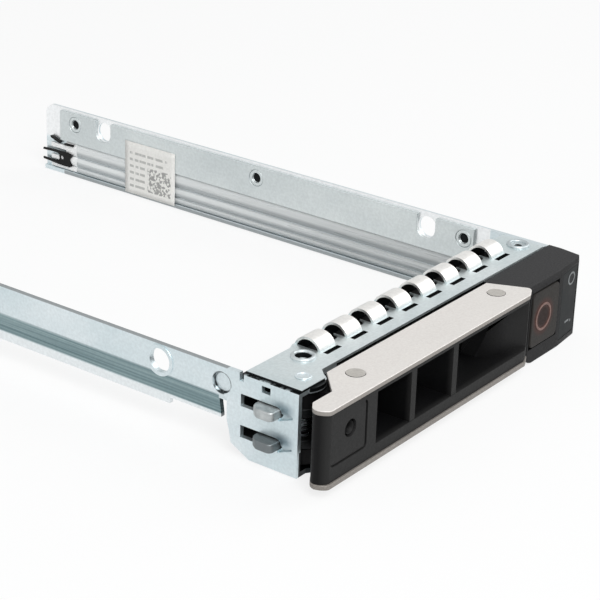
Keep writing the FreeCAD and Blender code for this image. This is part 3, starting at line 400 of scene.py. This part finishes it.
mouldedLook = {
    "leverGrille": {"dark": "050506", "light": "0A0A0B", "rough": (0.50, 0.66)},
    "bezelBlock": {"dark": "0B0B0C", "light": "141415", "rough": (0.46, 0.62)},
    "releaseButton": {"dark": "292725", "light": "2E2C2A", "rough": (0.50, 0.66)},
    "smallMoulding": {"dark": "0C0C0D", "light": "161617", "rough": (0.40, 0.54)},
}
mouldedPatches = {
    "grilleFrontLight": {"Y": (-far, -5.85, 0.45)},
    "grilleScoopLight": {"X": (14.05, far, 2.55), "Y": (-7.0, -3.6)},
    "bezelOuterLight": {"X": (13.0, far, 1.0)},
    "bezelTopLight": {"Z": (13.72, far, 0.06)},
    "bezelThinWallShade": {"X": (12.0, 18.7), "Z": (-1.0, 13.2)},
}
buttonMark = {"centre": (22.32, 7.6), "inner": 2.0, "outer": 2.42, "chamfer": 0.06, "face": -5.5, "rise": 0.1,
              "glows": (("3F2B27", 2.4, 3.7), ("241714", 1.3, 2.0))}  # colour, full glow and end of glow


def mouldedAbs(name):
    # Injection moulded ABS blend with a spark eroded mould texture; lit outer faces are painted lighter as painted
    # light
    look = mouldedLook[name]
    finish, tree, shader, place = newFinish("moulded ABS, " + name, {"IOR": 1.46, "Specular IOR Level": 0.18})
    texture = noiseAt(tree, place, (0.3, 0.3, 0.3), 3.0, 0.6)  # 0.08 mm texture, drawn coarser to show
    flow = noiseAt(tree, place, (16, 9, 9), 3.0)
    tone = twoTone(tree, flow, look["dark"], look["light"])
    spot = addNode(tree, "ShaderNodeSeparateXYZ", {"Vector": place}).outputs
    if name == "leverGrille":
        # Painted light on the grille's front and on the finger scoop's right end
        paintedShading = eitherOf(tree, patchAt(tree, spot, mouldedPatches["grilleFrontLight"]),
                        patchAt(tree, spot, mouldedPatches["grilleScoopLight"]))
        tone = painted(tree, tone, paintedShading, toLinear("222222"))
    if name == "bezelBlock":
        # Painted light on the bezel's outer faces, lighter on the top, and painted shade on the thin wall beside
        # the button
        top = patchAt(tree, spot, mouldedPatches["bezelTopLight"])
        litShell = painted(tree, toLinear("151516"), top, toLinear("2B2B2C"))
        tone = painted(tree, tone, patchAt(tree, spot, mouldedPatches["bezelOuterLight"]), litShell)
        tone = painted(tree, tone, patchAt(tree, spot, mouldedPatches["bezelThinWallShade"]), toLinear(look["dark"]))
    if name == "releaseButton":
        # Lamp glow through the moulding: a reddish halo round the ring, dark in the middle
        flat = addNode(tree, "ShaderNodeCombineXYZ", {"X": spot["X"], "Z": spot["Z"]}).outputs[0]
        middle = (buttonMark["centre"][0] * mm, 0, buttonMark["centre"][1] * mm)
        reach = addNode(tree, "ShaderNodeVectorMath", {0: flat, 1: middle}, operation="DISTANCE").outputs["Value"]
        for colour, full, end in buttonMark["glows"]:
            glow = addNode(tree, "ShaderNodeMapRange", {
                "Value": reach, "From Min": full * mm, "From Max": end * mm, "To Min": 1.0, "To Max": 0.0},
                interpolation_type="SMOOTHSTEP")
            tone = painted(tree, tone, glow.outputs[0], toLinear(colour))
    coat(tree, shader, tone, texture, look["rough"], 0.012)
    return finish


def smokedAcrylic():
    # Smoked lamp window: satin dark grey
    finish, tree, shader, place = newFinish("smoked acrylic", {"IOR": 1.49, "Specular IOR Level": 0.14})
    haze = noiseAt(tree, place, (3, 3, 3), 3.0)
    coat(tree, shader, twoTone(tree, haze, "191B1C", "202324"), haze, (0.5, 0.62), 0.01)
    return finish


# The rods' lower halves carry painted shade
guideShadeBands = ((0.7, 1.5, 0.3), (2.0, 2.95, 0.3), (4.0, 5.2, 0.3))  # heights of the rods' lower halves


def clearPolycarbonate():
    # Light guides: polycarbonate given a pale silver colour as a painted reflection of the rail behind it, with
    # faint draw lines along its length
    finish, tree, shader, place = newFinish("clear polycarbonate", {"IOR": 1.58, "Transmission Weight": 0.08})
    draw = noiseAt(tree, place, (0.8, 20, 0.8), 2.0)
    tone = twoTone(tree, draw, "E2E6E7", "EEF1F1")
    spot = addNode(tree, "ShaderNodeSeparateXYZ", {"Vector": place}).outputs
    for shade in guideShadeBands:
        tone = painted(tree, tone, patchAt(tree, spot, {"Z": shade}), toLinear("B4BABC"))
    coat(tree, shader, tone, draw, (0.22, 0.38), 0.002)
    return finish


def backdropWhiteTip():
    # Rear tips of the light guides, painted near white for the backdrop seen through them
    finish, tree, shader, place = newFinish("polycarbonate tip painted white", {"IOR": 1.49, "Transmission Weight": 0.05})
    draw = noiseAt(tree, place, (0.6, 3, 0.6), 2.0)
    coat(tree, shader, twoTone(tree, draw, "F6F8F8", "FFFFFF"), draw, (0.3, 0.45))
    return finish


labelPrint = {"linePitch": 1.36, "line": (0.42, 0.92, 0.06), "strength": 0.62, "dashShare": 0.7,
              "upper": {"Y": (86.2, 95.8), "Z": (6.9, 9.7)}, "side": {"Y": (91.9, 95.8), "Z": (1.5, 6.9)},
              "square": {"Y": (85.3, 91.2), "Z": (1.6, 6.6)}}


def labelFilm():
    # Matt white film label; its print is left plain: rows of short grey dashes and a mottled square
    finish, tree, shader, place = newFinish("matt film label", {"IOR": 1.46})
    fibre = noiseAt(tree, place, (0.4, 0.4, 0.4), 3.0)
    paper = twoTone(tree, fibre, "E4E3DF", "EFEEEB")
    spot = addNode(tree, "ShaderNodeSeparateXYZ", {"Vector": place}).outputs
    dashes = addNode(tree, "ShaderNodeMapRange", {"Value": noiseAt(tree, place, (9, 0.85, 9), 2.0),
                                                  "From Min": 0.44, "From Max": 0.5}).outputs[0]
    lines = addNode(tree, "ShaderNodeMath", {0: spot["Z"], 1: labelPrint["linePitch"] * mm, 2: 0.0},
                    operation="WRAP").outputs[0]
    zones = eitherOf(tree, patchAt(tree, spot, labelPrint["upper"]), patchAt(tree, spot, labelPrint["side"]))
    rows = overlap(tree, dashes, within(tree, lines, *labelPrint["line"]), zones, labelPrint["dashShare"])
    cells = addNode(tree, "ShaderNodeMapRange", {"Value": noiseAt(tree, place, (0.55, 0.55, 0.55), 1.0),
                                                 "From Min": 0.46, "From Max": 0.54,
                                                 "To Min": 1.0, "To Max": 0.0})
    square = overlap(tree, patchAt(tree, spot, labelPrint["square"]), cells.outputs[0])
    ink = overlap(tree, eitherOf(tree, rows, square), labelPrint["strength"])
    coat(tree, shader, painted(tree, paper, ink, toLinear("3A3C3D")), fibre, (0.45, 0.6), 0.006)
    return finish


def copperPrint():
    # Hot stamped metallic ring, worn a little thin
    finish, tree, shader, place = newFinish("copper brown stamping foil", {"Metallic": 0.25})
    wear = noiseAt(tree, place, (0.7, 0.7, 0.7), 3.0)
    coat(tree, shader, twoTone(tree, wear, "77584F", "5F453F", 0.35), wear, (0.32, 0.5), 0.01)
    return finish


def paleInk():
    # Screen printed pale grey ink
    finish, tree, shader, place = newFinish("pale screen ink", {"Roughness": 0.5})
    grain = noiseAt(tree, place, (0.25, 0.25, 0.25), 2.0)
    coat(tree, shader, twoTone(tree, grain, "606365", "75797A"), grain, relief=0.005)
    return finish


traySteel = zincPlatedSteel("traySheet")
plateSteel = zincPlatedSteel("innerPlate")
coverSteel = zincPlatedSteel("springCover")
eyeletSteel = zincPlatedSteel("rolledEyelet")
leverSteel = blastedSteel("top")
leverSteelShaded = blastedSteel("bottom")
hookZinc = castZinc()
studSteel = turnedSteel()
shadeSteel = paintedShadeSkin()
wireSteel = springWire()
grilleAbs = mouldedAbs("leverGrille")
bezelAbs = mouldedAbs("bezelBlock")
smallAbs = mouldedAbs("smallMoulding")
buttonAbs = mouldedAbs("releaseButton")
windowAcrylic = smokedAcrylic()
guideClear = clearPolycarbonate()
guideTip = backdropWhiteTip()
filmLabel = labelFilm()
ringFoil = copperPrint()
iconInk = paleInk()
print("finishes ready")

# Sheet metal

coverForm = {"slitFront": 5.0, "slitOpened": 4.68, "bend": -36.4, "leftEdge": -36.12, "slitReach": (4.5, 5.8),
             "slitTop": 14.05, "archAxis": (8.35, 13.25), "strapFoot": 11.7, "strapRise": 14.12,
             "strapRear": 8.4}
rivetForm = {"places": (18.5, 64.5, 110.5), "height": 11.0, "face": 35.5, "recess": 1.0}


def pressTray(shape):
    # Dents slope in from their upper edge, and the stamped mark is deeper
    for vert in shape.verts:
        x, y, z = [c / mm for c in vert.co]
        if abs(x - pressing["dentFace"]) < close and y < pressing["dentRear"]:
            middle = min(pressing["slotMiddles"], key=lambda level: abs(level - z))
            vert.co.x = (pressing["dentLow"] if z < middle else pressing["sheetFace"]) * mm
        fromMark = math.dist((y, z), pressing["markMiddle"])
        if abs(x - pressing["markFace"]) < close and fromMark < pressing["markRadius"]:
            vert.co.x = pressing["markFloor"] * mm


def openSlits(shape):
    # The slits ahead of the straps open wider, and the cover stops short of the side plate's bend
    for vert in shape.verts:
        x, y, z = [c / mm for c in vert.co]
        if abs(y - coverForm["slitFront"]) < close:
            vert.co.y = coverForm["slitOpened"] * mm
        if x < coverForm["bend"]:
            vert.co.x = coverForm["leftEdge"] * mm
    # The slits' walls and the straps' inner faces, which look towards the arch's axis, get the near black painted
    # shade
    axisY, axisZ = coverForm["archAxis"]
    slitFrom, slitTo = coverForm["slitReach"]
    for face in shape.faces:
        x, y, z = [c / mm for c in face.calc_center_median()]
        slitWall = abs(face.normal.z) < 0.5 and slitFrom < y < slitTo and z < coverForm["slitTop"]
        inward = face.normal.y * (y - axisY) + face.normal.z * (z - axisZ) < 0 and abs(face.normal.x) < 0.3
        onStrap = (z > coverForm["strapRise"] or y > coverForm["strapRear"]) and z > coverForm["strapFoot"]
        if slitWall or (inward and onStrap):
            face.material_index = 1


def darkenRivets(shape):
    # The rivets' recess faces get the near black painted shade
    for face in shape.faces:
        x, y, z = [c / mm for c in face.calc_center_median()]
        nearest = min(rivetForm["places"], key=lambda place: abs(place - y))
        reach = math.hypot(y - nearest, z - rivetForm["height"])
        if x > rivetForm["face"] and abs(face.normal.x) > 0.5 and reach < rivetForm["recess"]:
            face.material_index = 1


withEdges("tray_frame", traySteel, 0.12, reshape=pressTray)
withEdges("inner_rail_plate", plateSteel, 0.08)
withEdges("rail_rivets", (plateSteel, shadeSteel), 0.2, reshape=darkenRivets)
withEdges("spring_cover", (coverSteel, shadeSteel), 0.05, reshape=openSlits)
print("sheet metal dressed")

# Pivot pin and rolled eyelets, each spun from its profile

onAxis = 0.0001  # millimetres from the axis, merged to one point after the spin
pin = {"centre": (-32.1, 3.0, 0), "radius": 1.19, "foot": 0.02, "collar": 14.1, "rim": 1.28, "top": 14.28,
       "roll": 0.1, "lip": 0.98, "lipDrop": 0.16, "dish": [(0.8, 14.1), (0.62, 14.13), (onAxis, 14.17)]}
profile = [(onAxis, pin["foot"]), (pin["radius"], pin["foot"]), (pin["radius"], pin["collar"]),
           (pin["rim"], pin["collar"] + 0.02)]
profile += rounded(pin["rim"] - pin["roll"], pin["top"] - pin["roll"], pin["roll"], 0, 90)
profile += rounded(pin["lip"], pin["top"] - pin["lipDrop"], pin["roll"], 90, 180)
profile += pin["dish"]
asPiece(spun(pin["centre"], profile, 48), "pivot_pin_turned", traySteel, "tray", ("pivot_pin",),
        bend=40)

eyelet = {"centres": {"left": (-26.8, 7.0, 0), "right": (32.3, 5.9, 0)}, "foot": 10.1, "cover": 14.1,
          "shank": 1.84, "rim": 1.62, "roll": 0.36, "throat": 1.26, "throatFoot": 12.6, "sleeve": 0.95, "bore": 0.7,
          "sleeveTop": 13.5, "funnel": [(0.62, 13.98), (0.7, 14.03), (1.2, 14.08)],
          "darkReach": {"left": 1.27, "right": 0.66}, "darkTop": 13.99}
for side, centre in eyelet["centres"].items():
    if side == "left":
        # a sleeve stands inside its throat
        profile = [(eyelet["bore"], eyelet["foot"]), (eyelet["bore"], eyelet["sleeveTop"] - 0.05),
                   (eyelet["bore"] + 0.05, eyelet["sleeveTop"]), (eyelet["sleeve"], eyelet["sleeveTop"]),
                   (eyelet["sleeve"] + 0.02, eyelet["throatFoot"]), (eyelet["throat"], eyelet["throatFoot"])]
    else:
        # its narrow bore opens in a wide funnel
        profile = [(eyelet["funnel"][0][0], eyelet["foot"])] + eyelet["funnel"]
    profile.append((eyelet["throat"], eyelet["cover"] + 0.02))
    profile += rounded(eyelet["rim"], eyelet["cover"] + 0.04, eyelet["roll"], 180, 0, 8)
    profile += [(eyelet["rim"] + eyelet["roll"], eyelet["cover"] + 0.003),
                (eyelet["shank"], eyelet["cover"] + 0.003), (eyelet["shank"], eyelet["foot"])]
    shape = spun(centre, profile, 56)
    # Faces deep in the bore get the near black painted shade; the left sleeve's top stays bright
    for face in shape.faces:
        x, y, z = [c / mm for c in face.calc_center_median()]
        reach = math.dist((x, y), centre[:2])
        brightSleeve = side == "left" and reach < eyelet["sleeve"] + 0.02 and z > eyelet["sleeveTop"] - 0.1
        if reach < eyelet["darkReach"][side] and z < eyelet["darkTop"] and not brightSleeve:
            face.material_index = 1
    replaced = ("cover_eyelets",) if side == "left" else ()
    asPiece(shape, "rolled_eyelet_" + side, (eyeletSteel, shadeSteel), "tray", replaced, bend=50)
print("pin and eyelets spun")

# Rear wall of the hinge compartment, dark behind the hook slots

hingeWall = {"left": -35.68, "right": -24.0, "front": 11.35, "rear": 11.95, "foot": 0.82, "top": 12.85}
wallCorners = (("left", "foot"), ("right", "foot"), ("right", "top"), ("left", "top"))
outline = [(hingeWall[across], hingeWall["front"], hingeWall[up]) for across, up in wallCorners]
asPiece(extruded(outline, (0, hingeWall["rear"] - hingeWall["front"], 0)), "hinge_bay_wall", smallAbs, "tray",
        bevel=0.15)

# Lever

lever = {"endFrom": (-38.4, -3.9), "endBevel": 0.75, "noseFrom": (-36.9, far), "noseBevel": 0.7,
         "ribFace": -5.6, "ribFront": -6.44, "ribWiden": 0.35, "ribRights": (-16.8, -5.45)}
scoop = {"left": 9.0, "right": 16.95, "front": -8.0, "middle": -6.5, "depth": 2.45, "foot": 4.2, "height": 8.4,
         "start": 7.5, "tail": [(10.9, -4.02), (9.9, -3.62), (9.0, -3.0), (8.3, -2.2), (7.8, -1.3), (7.5, -0.6)]}
panel = {"floor": -6.25, "groove": -5.55, "footGroove": -6.2, "face": -6.44, "grooveWidth": 0.36, "step": 0.02,
         "right": -29.5, "footRight": -29.2, "footTop": 4.9, "hole": (-33.2, 9.3), "holeReach": 1.6}


def roundEnd(shape):
    # The lever's left end is one smooth round
    roundUprights(shape, lever["endFrom"], 0.3, lever["endBevel"], 6)


def roundNose(shape):
    # The hooks' noses are cast round in plan
    roundUprights(shape, lever["noseFrom"], 0.2, lever["noseBevel"], 4)


def shapeGrille(shape):
    # Ribs come flush with the front
    for vert in shape.verts:
        x, y, z = [c / mm for c in vert.co]
        if abs(y - lever["ribFace"]) < close:
            vert.co.y = lever["ribFront"] * mm
            if min(abs(x - right) for right in lever["ribRights"]) < 0.1:
                vert.co.x += lever["ribWiden"] * mm
    # Finger scoop at the right end
    outline = [(scoop["start"], scoop["front"]), (scoop["right"], scoop["front"])]
    for step in range(10):
        turn = math.radians(90 * step / 12)
        outline.append((scoop["left"] + (scoop["right"] - scoop["left"]) * math.cos(turn),
                        scoop["middle"] + scoop["depth"] * math.sin(turn)))
    cutter = extruded([(x, y, scoop["foot"]) for x, y in outline + scoop["tail"]], (0, 0, scoop["height"]))
    shape = carved(shape, cutter)
    # A groove round the blank panel, whose face comes forward again
    floor = [face for face in shape.faces if face.normal.y < -0.9
             and all(abs(vert.co.y - panel["floor"] * mm) < close * mm for vert in face.verts)]
    for width, depth in ((panel["step"], panel["groove"]), (panel["grooveWidth"], panel["groove"]),
                         (panel["step"], panel["face"])):
        bmesh.ops.inset_region(shape, faces=floor, thickness=width * mm, use_boundary=True, use_even_offset=True)
        for vert in {vert for face in floor for vert in face.verts}:
            vert.co.y = depth * mm
    for vert in shape.verts:
        x, y, z = [c / mm for c in vert.co]
        if abs(y - panel["groove"]) < close / 2:
            offHole = math.dist((x, z), panel["hole"]) > panel["holeReach"]
            if x < panel["right"] and z > panel["footTop"] and offHole:
                vert.co.y = panel["face"] * mm
            elif z < panel["footTop"] and x < panel["footRight"]:
                vert.co.y = panel["footGroove"] * mm
    roundEnd(shape)
    return shape


def sleeveStuds(shape):
    # Between the plates the studs are taken to be moulded over with the grille's ABS, which is a guess
    for face in shape.faces:
        if abs(face.normal.z) < 0.5:
            face.material_index = 1


withEdges("lever_top_plate", leverSteel, 0.14, reshape=roundEnd)
withEdges("lever_bottom_plate", leverSteelShaded, 0.14, reshape=roundEnd)
withEdges("lever_studs", (studSteel, grilleAbs), 0.1, reshape=sleeveStuds)
withEdges("lever_grille", grilleAbs, 0.12, reshape=shapeGrille)
withEdges("upper_hook", hookZinc, 0.7, reshape=roundNose, segments=5)
withEdges("lower_hook", hookZinc, 0.7, reshape=roundNose, segments=5)
print("lever dressed")

# Bezel, button and lamp window

withEdges("bezel_housing", bezelAbs, 0.16)
withEdges("lamp_window", windowAcrylic, 0.08)
withEdges("release_button", buttonAbs, 0.18)
withEdges("latch_catch", smallAbs, 0.08)

edge = buttonMark["chamfer"]
profile = [(buttonMark["inner"], 0), (buttonMark["inner"], edge),
           (buttonMark["inner"] + edge, buttonMark["rise"]), (buttonMark["outer"] - edge, buttonMark["rise"]),
           (buttonMark["outer"], edge), (buttonMark["outer"], 0)]
shape = spun((0, 0, 0), profile, 64)
bmesh.ops.rotate(shape, verts=shape.verts, matrix=Matrix.Rotation(math.radians(90), 3, "X"))
ringPlace = (buttonMark["centre"][0], buttonMark["face"], buttonMark["centre"][1])
bmesh.ops.translate(shape, verts=shape.verts, vec=[c * mm for c in ringPlace])
asPiece(shape, "button_ring_stamped", ringFoil, "button", ("button_ring",), bend=20)

# Two plain printed marks on the lamp window's slanted face

lampFace = {"point": (28.5, -5.27), "slope": 0.0983}
lampMarks = {"inner": 0.78, "outer": 1.06, "rise": 0.03, "sunk": -0.05, "ringStretch": (1.25, 1, 1.08),
             "ringPlace": (32.0, 11.1), "barPlace": (31.9, 3.5), "barThick": 0.06,
             "bars": ((-1.25, 0.25, -0.2, 0.16), (0.65, 1.1, -0.55, -0.1))}  # left, right, low and high


def ontoLamp(shape, x, z):
    bmesh.ops.rotate(shape, verts=shape.verts, matrix=Matrix.Rotation(math.atan(lampFace["slope"]), 3, "Z"))
    y = lampFace["point"][1] + (x - lampFace["point"][0]) * lampFace["slope"]
    bmesh.ops.translate(shape, verts=shape.verts, vec=(x * mm, y * mm, z * mm))
    return shape


profile = [(lampMarks["inner"], lampMarks["sunk"]), (lampMarks["inner"], lampMarks["rise"]),
           (lampMarks["outer"], lampMarks["rise"]), (lampMarks["outer"], lampMarks["sunk"])]
shape = spun((0, 0, 0), profile, 32)
bmesh.ops.rotate(shape, verts=shape.verts, matrix=Matrix.Rotation(math.radians(90), 3, "X"))
bmesh.ops.scale(shape, vec=lampMarks["ringStretch"], verts=shape.verts)
asPiece(ontoLamp(shape, *lampMarks["ringPlace"]), "lamp_mark_upper", iconInk, "tray")
shape = bmesh.new()
for left, right, low, high in lampMarks["bars"]:
    middle = Vector(((left + right) / 2 * mm, 0, (low + high) / 2 * mm))
    size = Vector((right - left, lampMarks["barThick"], high - low))
    bmesh.ops.create_cube(shape, size=mm, matrix=Matrix.LocRotScale(middle, None, size))
asPiece(ontoLamp(shape, *lampMarks["barPlace"]), "lamp_mark_lower", iconInk, "tray", bevel=0.02)
print("bezel dressed")

# Light guides, rounded towards the bay, with rear tips painted near white

rod = {"inner": 35.28, "bodyFrom": 35.2, "plainFrom": 20.0, "rear": 113.2, "front": -1.0, "slices": 8,
       "bulge": 0.4, "tip": 117.2, "tipFrom": 110.3}


def sliced(shape, place, way):
    everything = shape.verts[:] + shape.edges[:] + shape.faces[:]
    bmesh.ops.bisect_plane(shape, geom=everything, dist=welds["cutPoints"] * mm, plane_co=place, plane_no=way)


def roundGuide(shape):
    body = [vert for vert in shape.verts
            if vert.co.y < (rod["rear"] + 0.1) * mm and vert.co.x > rod["bodyFrom"] * mm]
    low = min(vert.co.z for vert in body)
    high = max(vert.co.z for vert in body if vert.co.y > rod["plainFrom"] * mm)
    for step in range(1, rod["slices"]):
        level = low + (high - low) * (1 - math.cos(math.pi * step / rod["slices"])) / 2
        sliced(shape, (0, 0, level), (0, 0, 1))
    sliced(shape, (0, rod["front"] * mm, 0), (0, 1, 0))
    for vert in shape.verts:
        alongBody = (rod["front"] - 0.01) * mm < vert.co.y < (rod["rear"] + 0.02) * mm
        if abs(vert.co.x - rod["inner"] * mm) < 0.03 * mm and alongBody:
            share = max(-1.0, min(1.0, (vert.co.z - (low + high) / 2) / ((high - low) / 2)))
            vert.co.x = (rod["inner"] + rod["bulge"] * (1 - math.sqrt(1 - share * share))) * mm
    sliced(shape, (0, rod["tipFrom"] * mm, 0), (0, 1, 0))
    for vert in shape.verts:
        vert.co.y = min(vert.co.y, rod["tip"] * mm)
    for face in shape.faces:
        if face.calc_center_median().y > rod["tipFrom"] * mm:
            face.material_index = 1


for guideNode in ("light_guide_lower", "light_guide_middle", "light_guide_upper"):
    withEdges(guideNode, (guideClear, guideTip), 0, bend=50, reshape=roundGuide)

# Black fork that holds the guides' rear ends, its outlines seen from the bay as Y and Z

fork = {"front": 34.98, "rear": 35.27, "eye": (114.15, 3.3), "eyeRadius": 0.44, "extraThick": 0.4, "bevel": 0.05,
        "outline": [(119.3, 3.98), (119.2, 4.42), (116.5, 4.62), (114.4, 4.62), (112.6, 4.72), (111.2, 4.3),
                    (112.05, 3.25), (111.5, 2.0), (112.2, 1.68), (114.6, 1.68), (117.0, 1.86), (119.2, 1.98),
                    (119.3, 2.42), (117.0, 2.42), (115.1, 2.44), (114.75, 3.0), (114.85, 3.8), (115.3, 4.05),
                    (117.0, 4.08)],
        "finger": [(117.3, 7.32), (117.0, 6.92), (114.7, 6.2), (114.5, 6.5), (116.6, 7.2)],
        "block": [(113.4, 6.5), (113.4, 6.1), (111.0, 6.22), (111.0, 6.6)]}
forkThick = fork["rear"] - fork["front"]
body = extruded([(fork["front"], y, z) for y, z in fork["outline"]], (forkThick, 0, 0))
eye = []
for step in range(24):
    turn = math.tau * step / 24
    eye.append((fork["front"] - 0.3, fork["eye"][0] + fork["eyeRadius"] * math.cos(turn),
                fork["eye"][1] + fork["eyeRadius"] * math.sin(turn)))
body = carved(body, extruded(eye, (1.0, 0, 0)))
asPiece(body, "guide_fork", smallAbs, "tray", ("light_guide_holder",), bevel=fork["bevel"])
for part in ("finger", "block"):
    shape = extruded([(fork["front"], y, z) for y, z in fork[part]], (forkThick + fork["extraThick"], 0, 0))
    asPiece(shape, "guide_fork_" + part, smallAbs, "tray", bevel=fork["bevel"])

# Label, a thin film that hangs from the inner plate over the guides

film = {"face": 35.02, "rear": 97.0, "front": 84.25, "foot": 0.4, "top": 11.05, "curl": 0.1, "curlFrom": 4.0,
        "thick": 0.06}
shape = bmesh.new()
bmesh.ops.create_grid(shape, x_segments=12, y_segments=10, size=0.5)
filmSize = ((film["rear"] - film["front"]) * mm, (film["top"] - film["foot"]) * mm, 1)
filmMiddle = (film["face"] * mm, (film["rear"] + film["front"]) / 2 * mm, (film["top"] + film["foot"]) / 2 * mm)
bmesh.ops.scale(shape, vec=filmSize, verts=shape.verts)
bmesh.ops.rotate(shape, verts=shape.verts, matrix=Matrix(((0, 0, 1), (1, 0, 0), (0, 1, 0))))
bmesh.ops.translate(shape, verts=shape.verts, vec=filmMiddle)
for vert in shape.verts:
    share = max(0.0, film["curlFrom"] * mm - vert.co.z) / (film["curlFrom"] * mm)
    vert.co.x -= share ** 2 * film["curl"] * mm
bmesh.ops.recalc_face_normals(shape, faces=shape.faces)
sideLabel = asPiece(shape, "side_label_film", filmLabel, "tray", ("side_label",))
thick = sideLabel.modifiers.new("film", "SOLIDIFY")
thick.thickness = film["thick"] * mm
thick.offset = 0
print("guides, fork and label dressed")

# Springs, which keep their CAD form; the catch's spring is pressed against the bezel as the catch moves

for springNode in ("lever_spring", "catch_spring"):
    nodes[springNode].data.materials.clear()
    nodes[springNode].data.materials.append(wireSteel)
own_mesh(nodes["catch_spring"])

# Floor and surroundings

studio = {"floorSize": 3.0, "floorDrop": -0.0002, "floorTone": "F2F3F3", "whiteShare": 0.8, "skyDiffuse": 0.45,
          "rearSky": 0.8, "rearWay": (0.72, 0.6, 0.34), "rearFrom": 0.35, "rearTo": 0.95}
lamps = {"key lamp": {"place": (-0.35, -0.45, 0.62), "power": 5.0},
         "fill lamp": {"place": (0.55, -0.25, 0.45), "power": 1.2}}
lampSize = 0.5
lampAim = (0, 0.05, 0)

shape = bmesh.new()
bmesh.ops.create_grid(shape, x_segments=1, y_segments=1, size=studio["floorSize"])
bmesh.ops.translate(shape, verts=shape.verts, vec=(0, 0, studio["floorDrop"]))
floorMesh = bpy.data.meshes.new("studio_floor")
shape.to_mesh(floorMesh)
shape.free()
studioFloor = bpy.data.objects.new("studio_floor", floorMesh)
scene.collection.objects.link(studioFloor)


def seenDirectly(tree):
    # 1 for the camera, for mirror reflections and through clear parts
    ray = addNode(tree, "ShaderNodeLightPath").outputs
    return eitherOf(tree, ray["Is Camera Ray"], ray["Is Glossy Ray"], ray["Is Transmission Ray"]), ray


paper = bpy.data.materials.new("white studio paper")
paper.use_nodes = True
tree = paper.node_tree
matt = tree.nodes["Principled BSDF"]
matt.inputs["Base Color"].default_value = toLinear(studio["floorTone"])
matt.inputs["Roughness"].default_value = 0.9
glow = addNode(tree, "ShaderNodeEmission", {"Color": (1, 1, 1, 1), "Strength": 1.0})
seen, ray = seenDirectly(tree)
mixed = addNode(tree, "ShaderNodeMixShader", {0: overlap(tree, seen, studio["whiteShare"]), 1: matt.outputs[0],
                                              2: glow.outputs[0]})
tree.links.new(mixed.outputs[0], tree.nodes["Material Output"].inputs["Surface"])
floorMesh.materials.append(paper)

# The sky is white to the eye, and reflections see it a little dimmer at the rear right
sky = bpy.data.worlds.new("white studio")
scene.world = sky
sky.use_nodes = True
tree = sky.node_tree
seen, ray = seenDirectly(tree)
way = addNode(tree, "ShaderNodeTexCoord").outputs["Generated"]
rear = addNode(tree, "ShaderNodeVectorMath", {0: way, 1: studio["rearWay"]}, operation="DOT_PRODUCT")
rearLevel = addNode(tree, "ShaderNodeMapRange", {
    "Value": rear.outputs["Value"], "From Min": studio["rearFrom"], "From Max": studio["rearTo"], "To Min": 1.0,
    "To Max": studio["rearSky"]}, interpolation_type="SMOOTHSTEP")
mirrored = addNode(tree, "ShaderNodeMix", {"Factor": ray["Is Glossy Ray"], "A": 1.0, "B": rearLevel.outputs[0]})
level = addNode(tree, "ShaderNodeMix", {"Factor": seen, "A": studio["skyDiffuse"], "B": mirrored.outputs[0]})
background = tree.nodes["Background"]
background.inputs["Color"].default_value = (1, 1, 1, 1)
tree.links.new(level.outputs[0], background.inputs["Strength"])

# Lamps and camera

for lampName, setting in lamps.items():
    lamp = bpy.data.lights.new(lampName, "AREA")
    lamp.shape = "DISK"
    lamp.size = lampSize
    lamp.energy = setting["power"]
    holder = bpy.data.objects.new(lampName, lamp)
    holder.location = setting["place"]
    holder.rotation_euler = (Vector(lampAim) - Vector(setting["place"])).to_track_quat("-Z", "Y").to_euler()
    scene.collection.objects.link(holder)

photoView = {"lens": 118.347, "sensor": 36.0, "place": (-0.239326, -0.148029, 0.138267),
             "turn": (66.3542, -1.7214, -52.9758)}  # solved from the straight rails of the photograph
cameraData = bpy.data.cameras.new("photo camera")
cameraData.sensor_width = photoView["sensor"]
cameraData.lens = photoView["lens"]
cameraData.clip_start = 0.01
cameraData.clip_end = 10.0
camera = bpy.data.objects.new("photo camera", cameraData)
camera.location = photoView["place"]
camera.rotation_euler = [math.radians(turn) for turn in photoView["turn"]]
scene.collection.objects.link(camera)
scene.camera = camera
scene.view_settings.view_transform = "Standard"
print("studio ready")
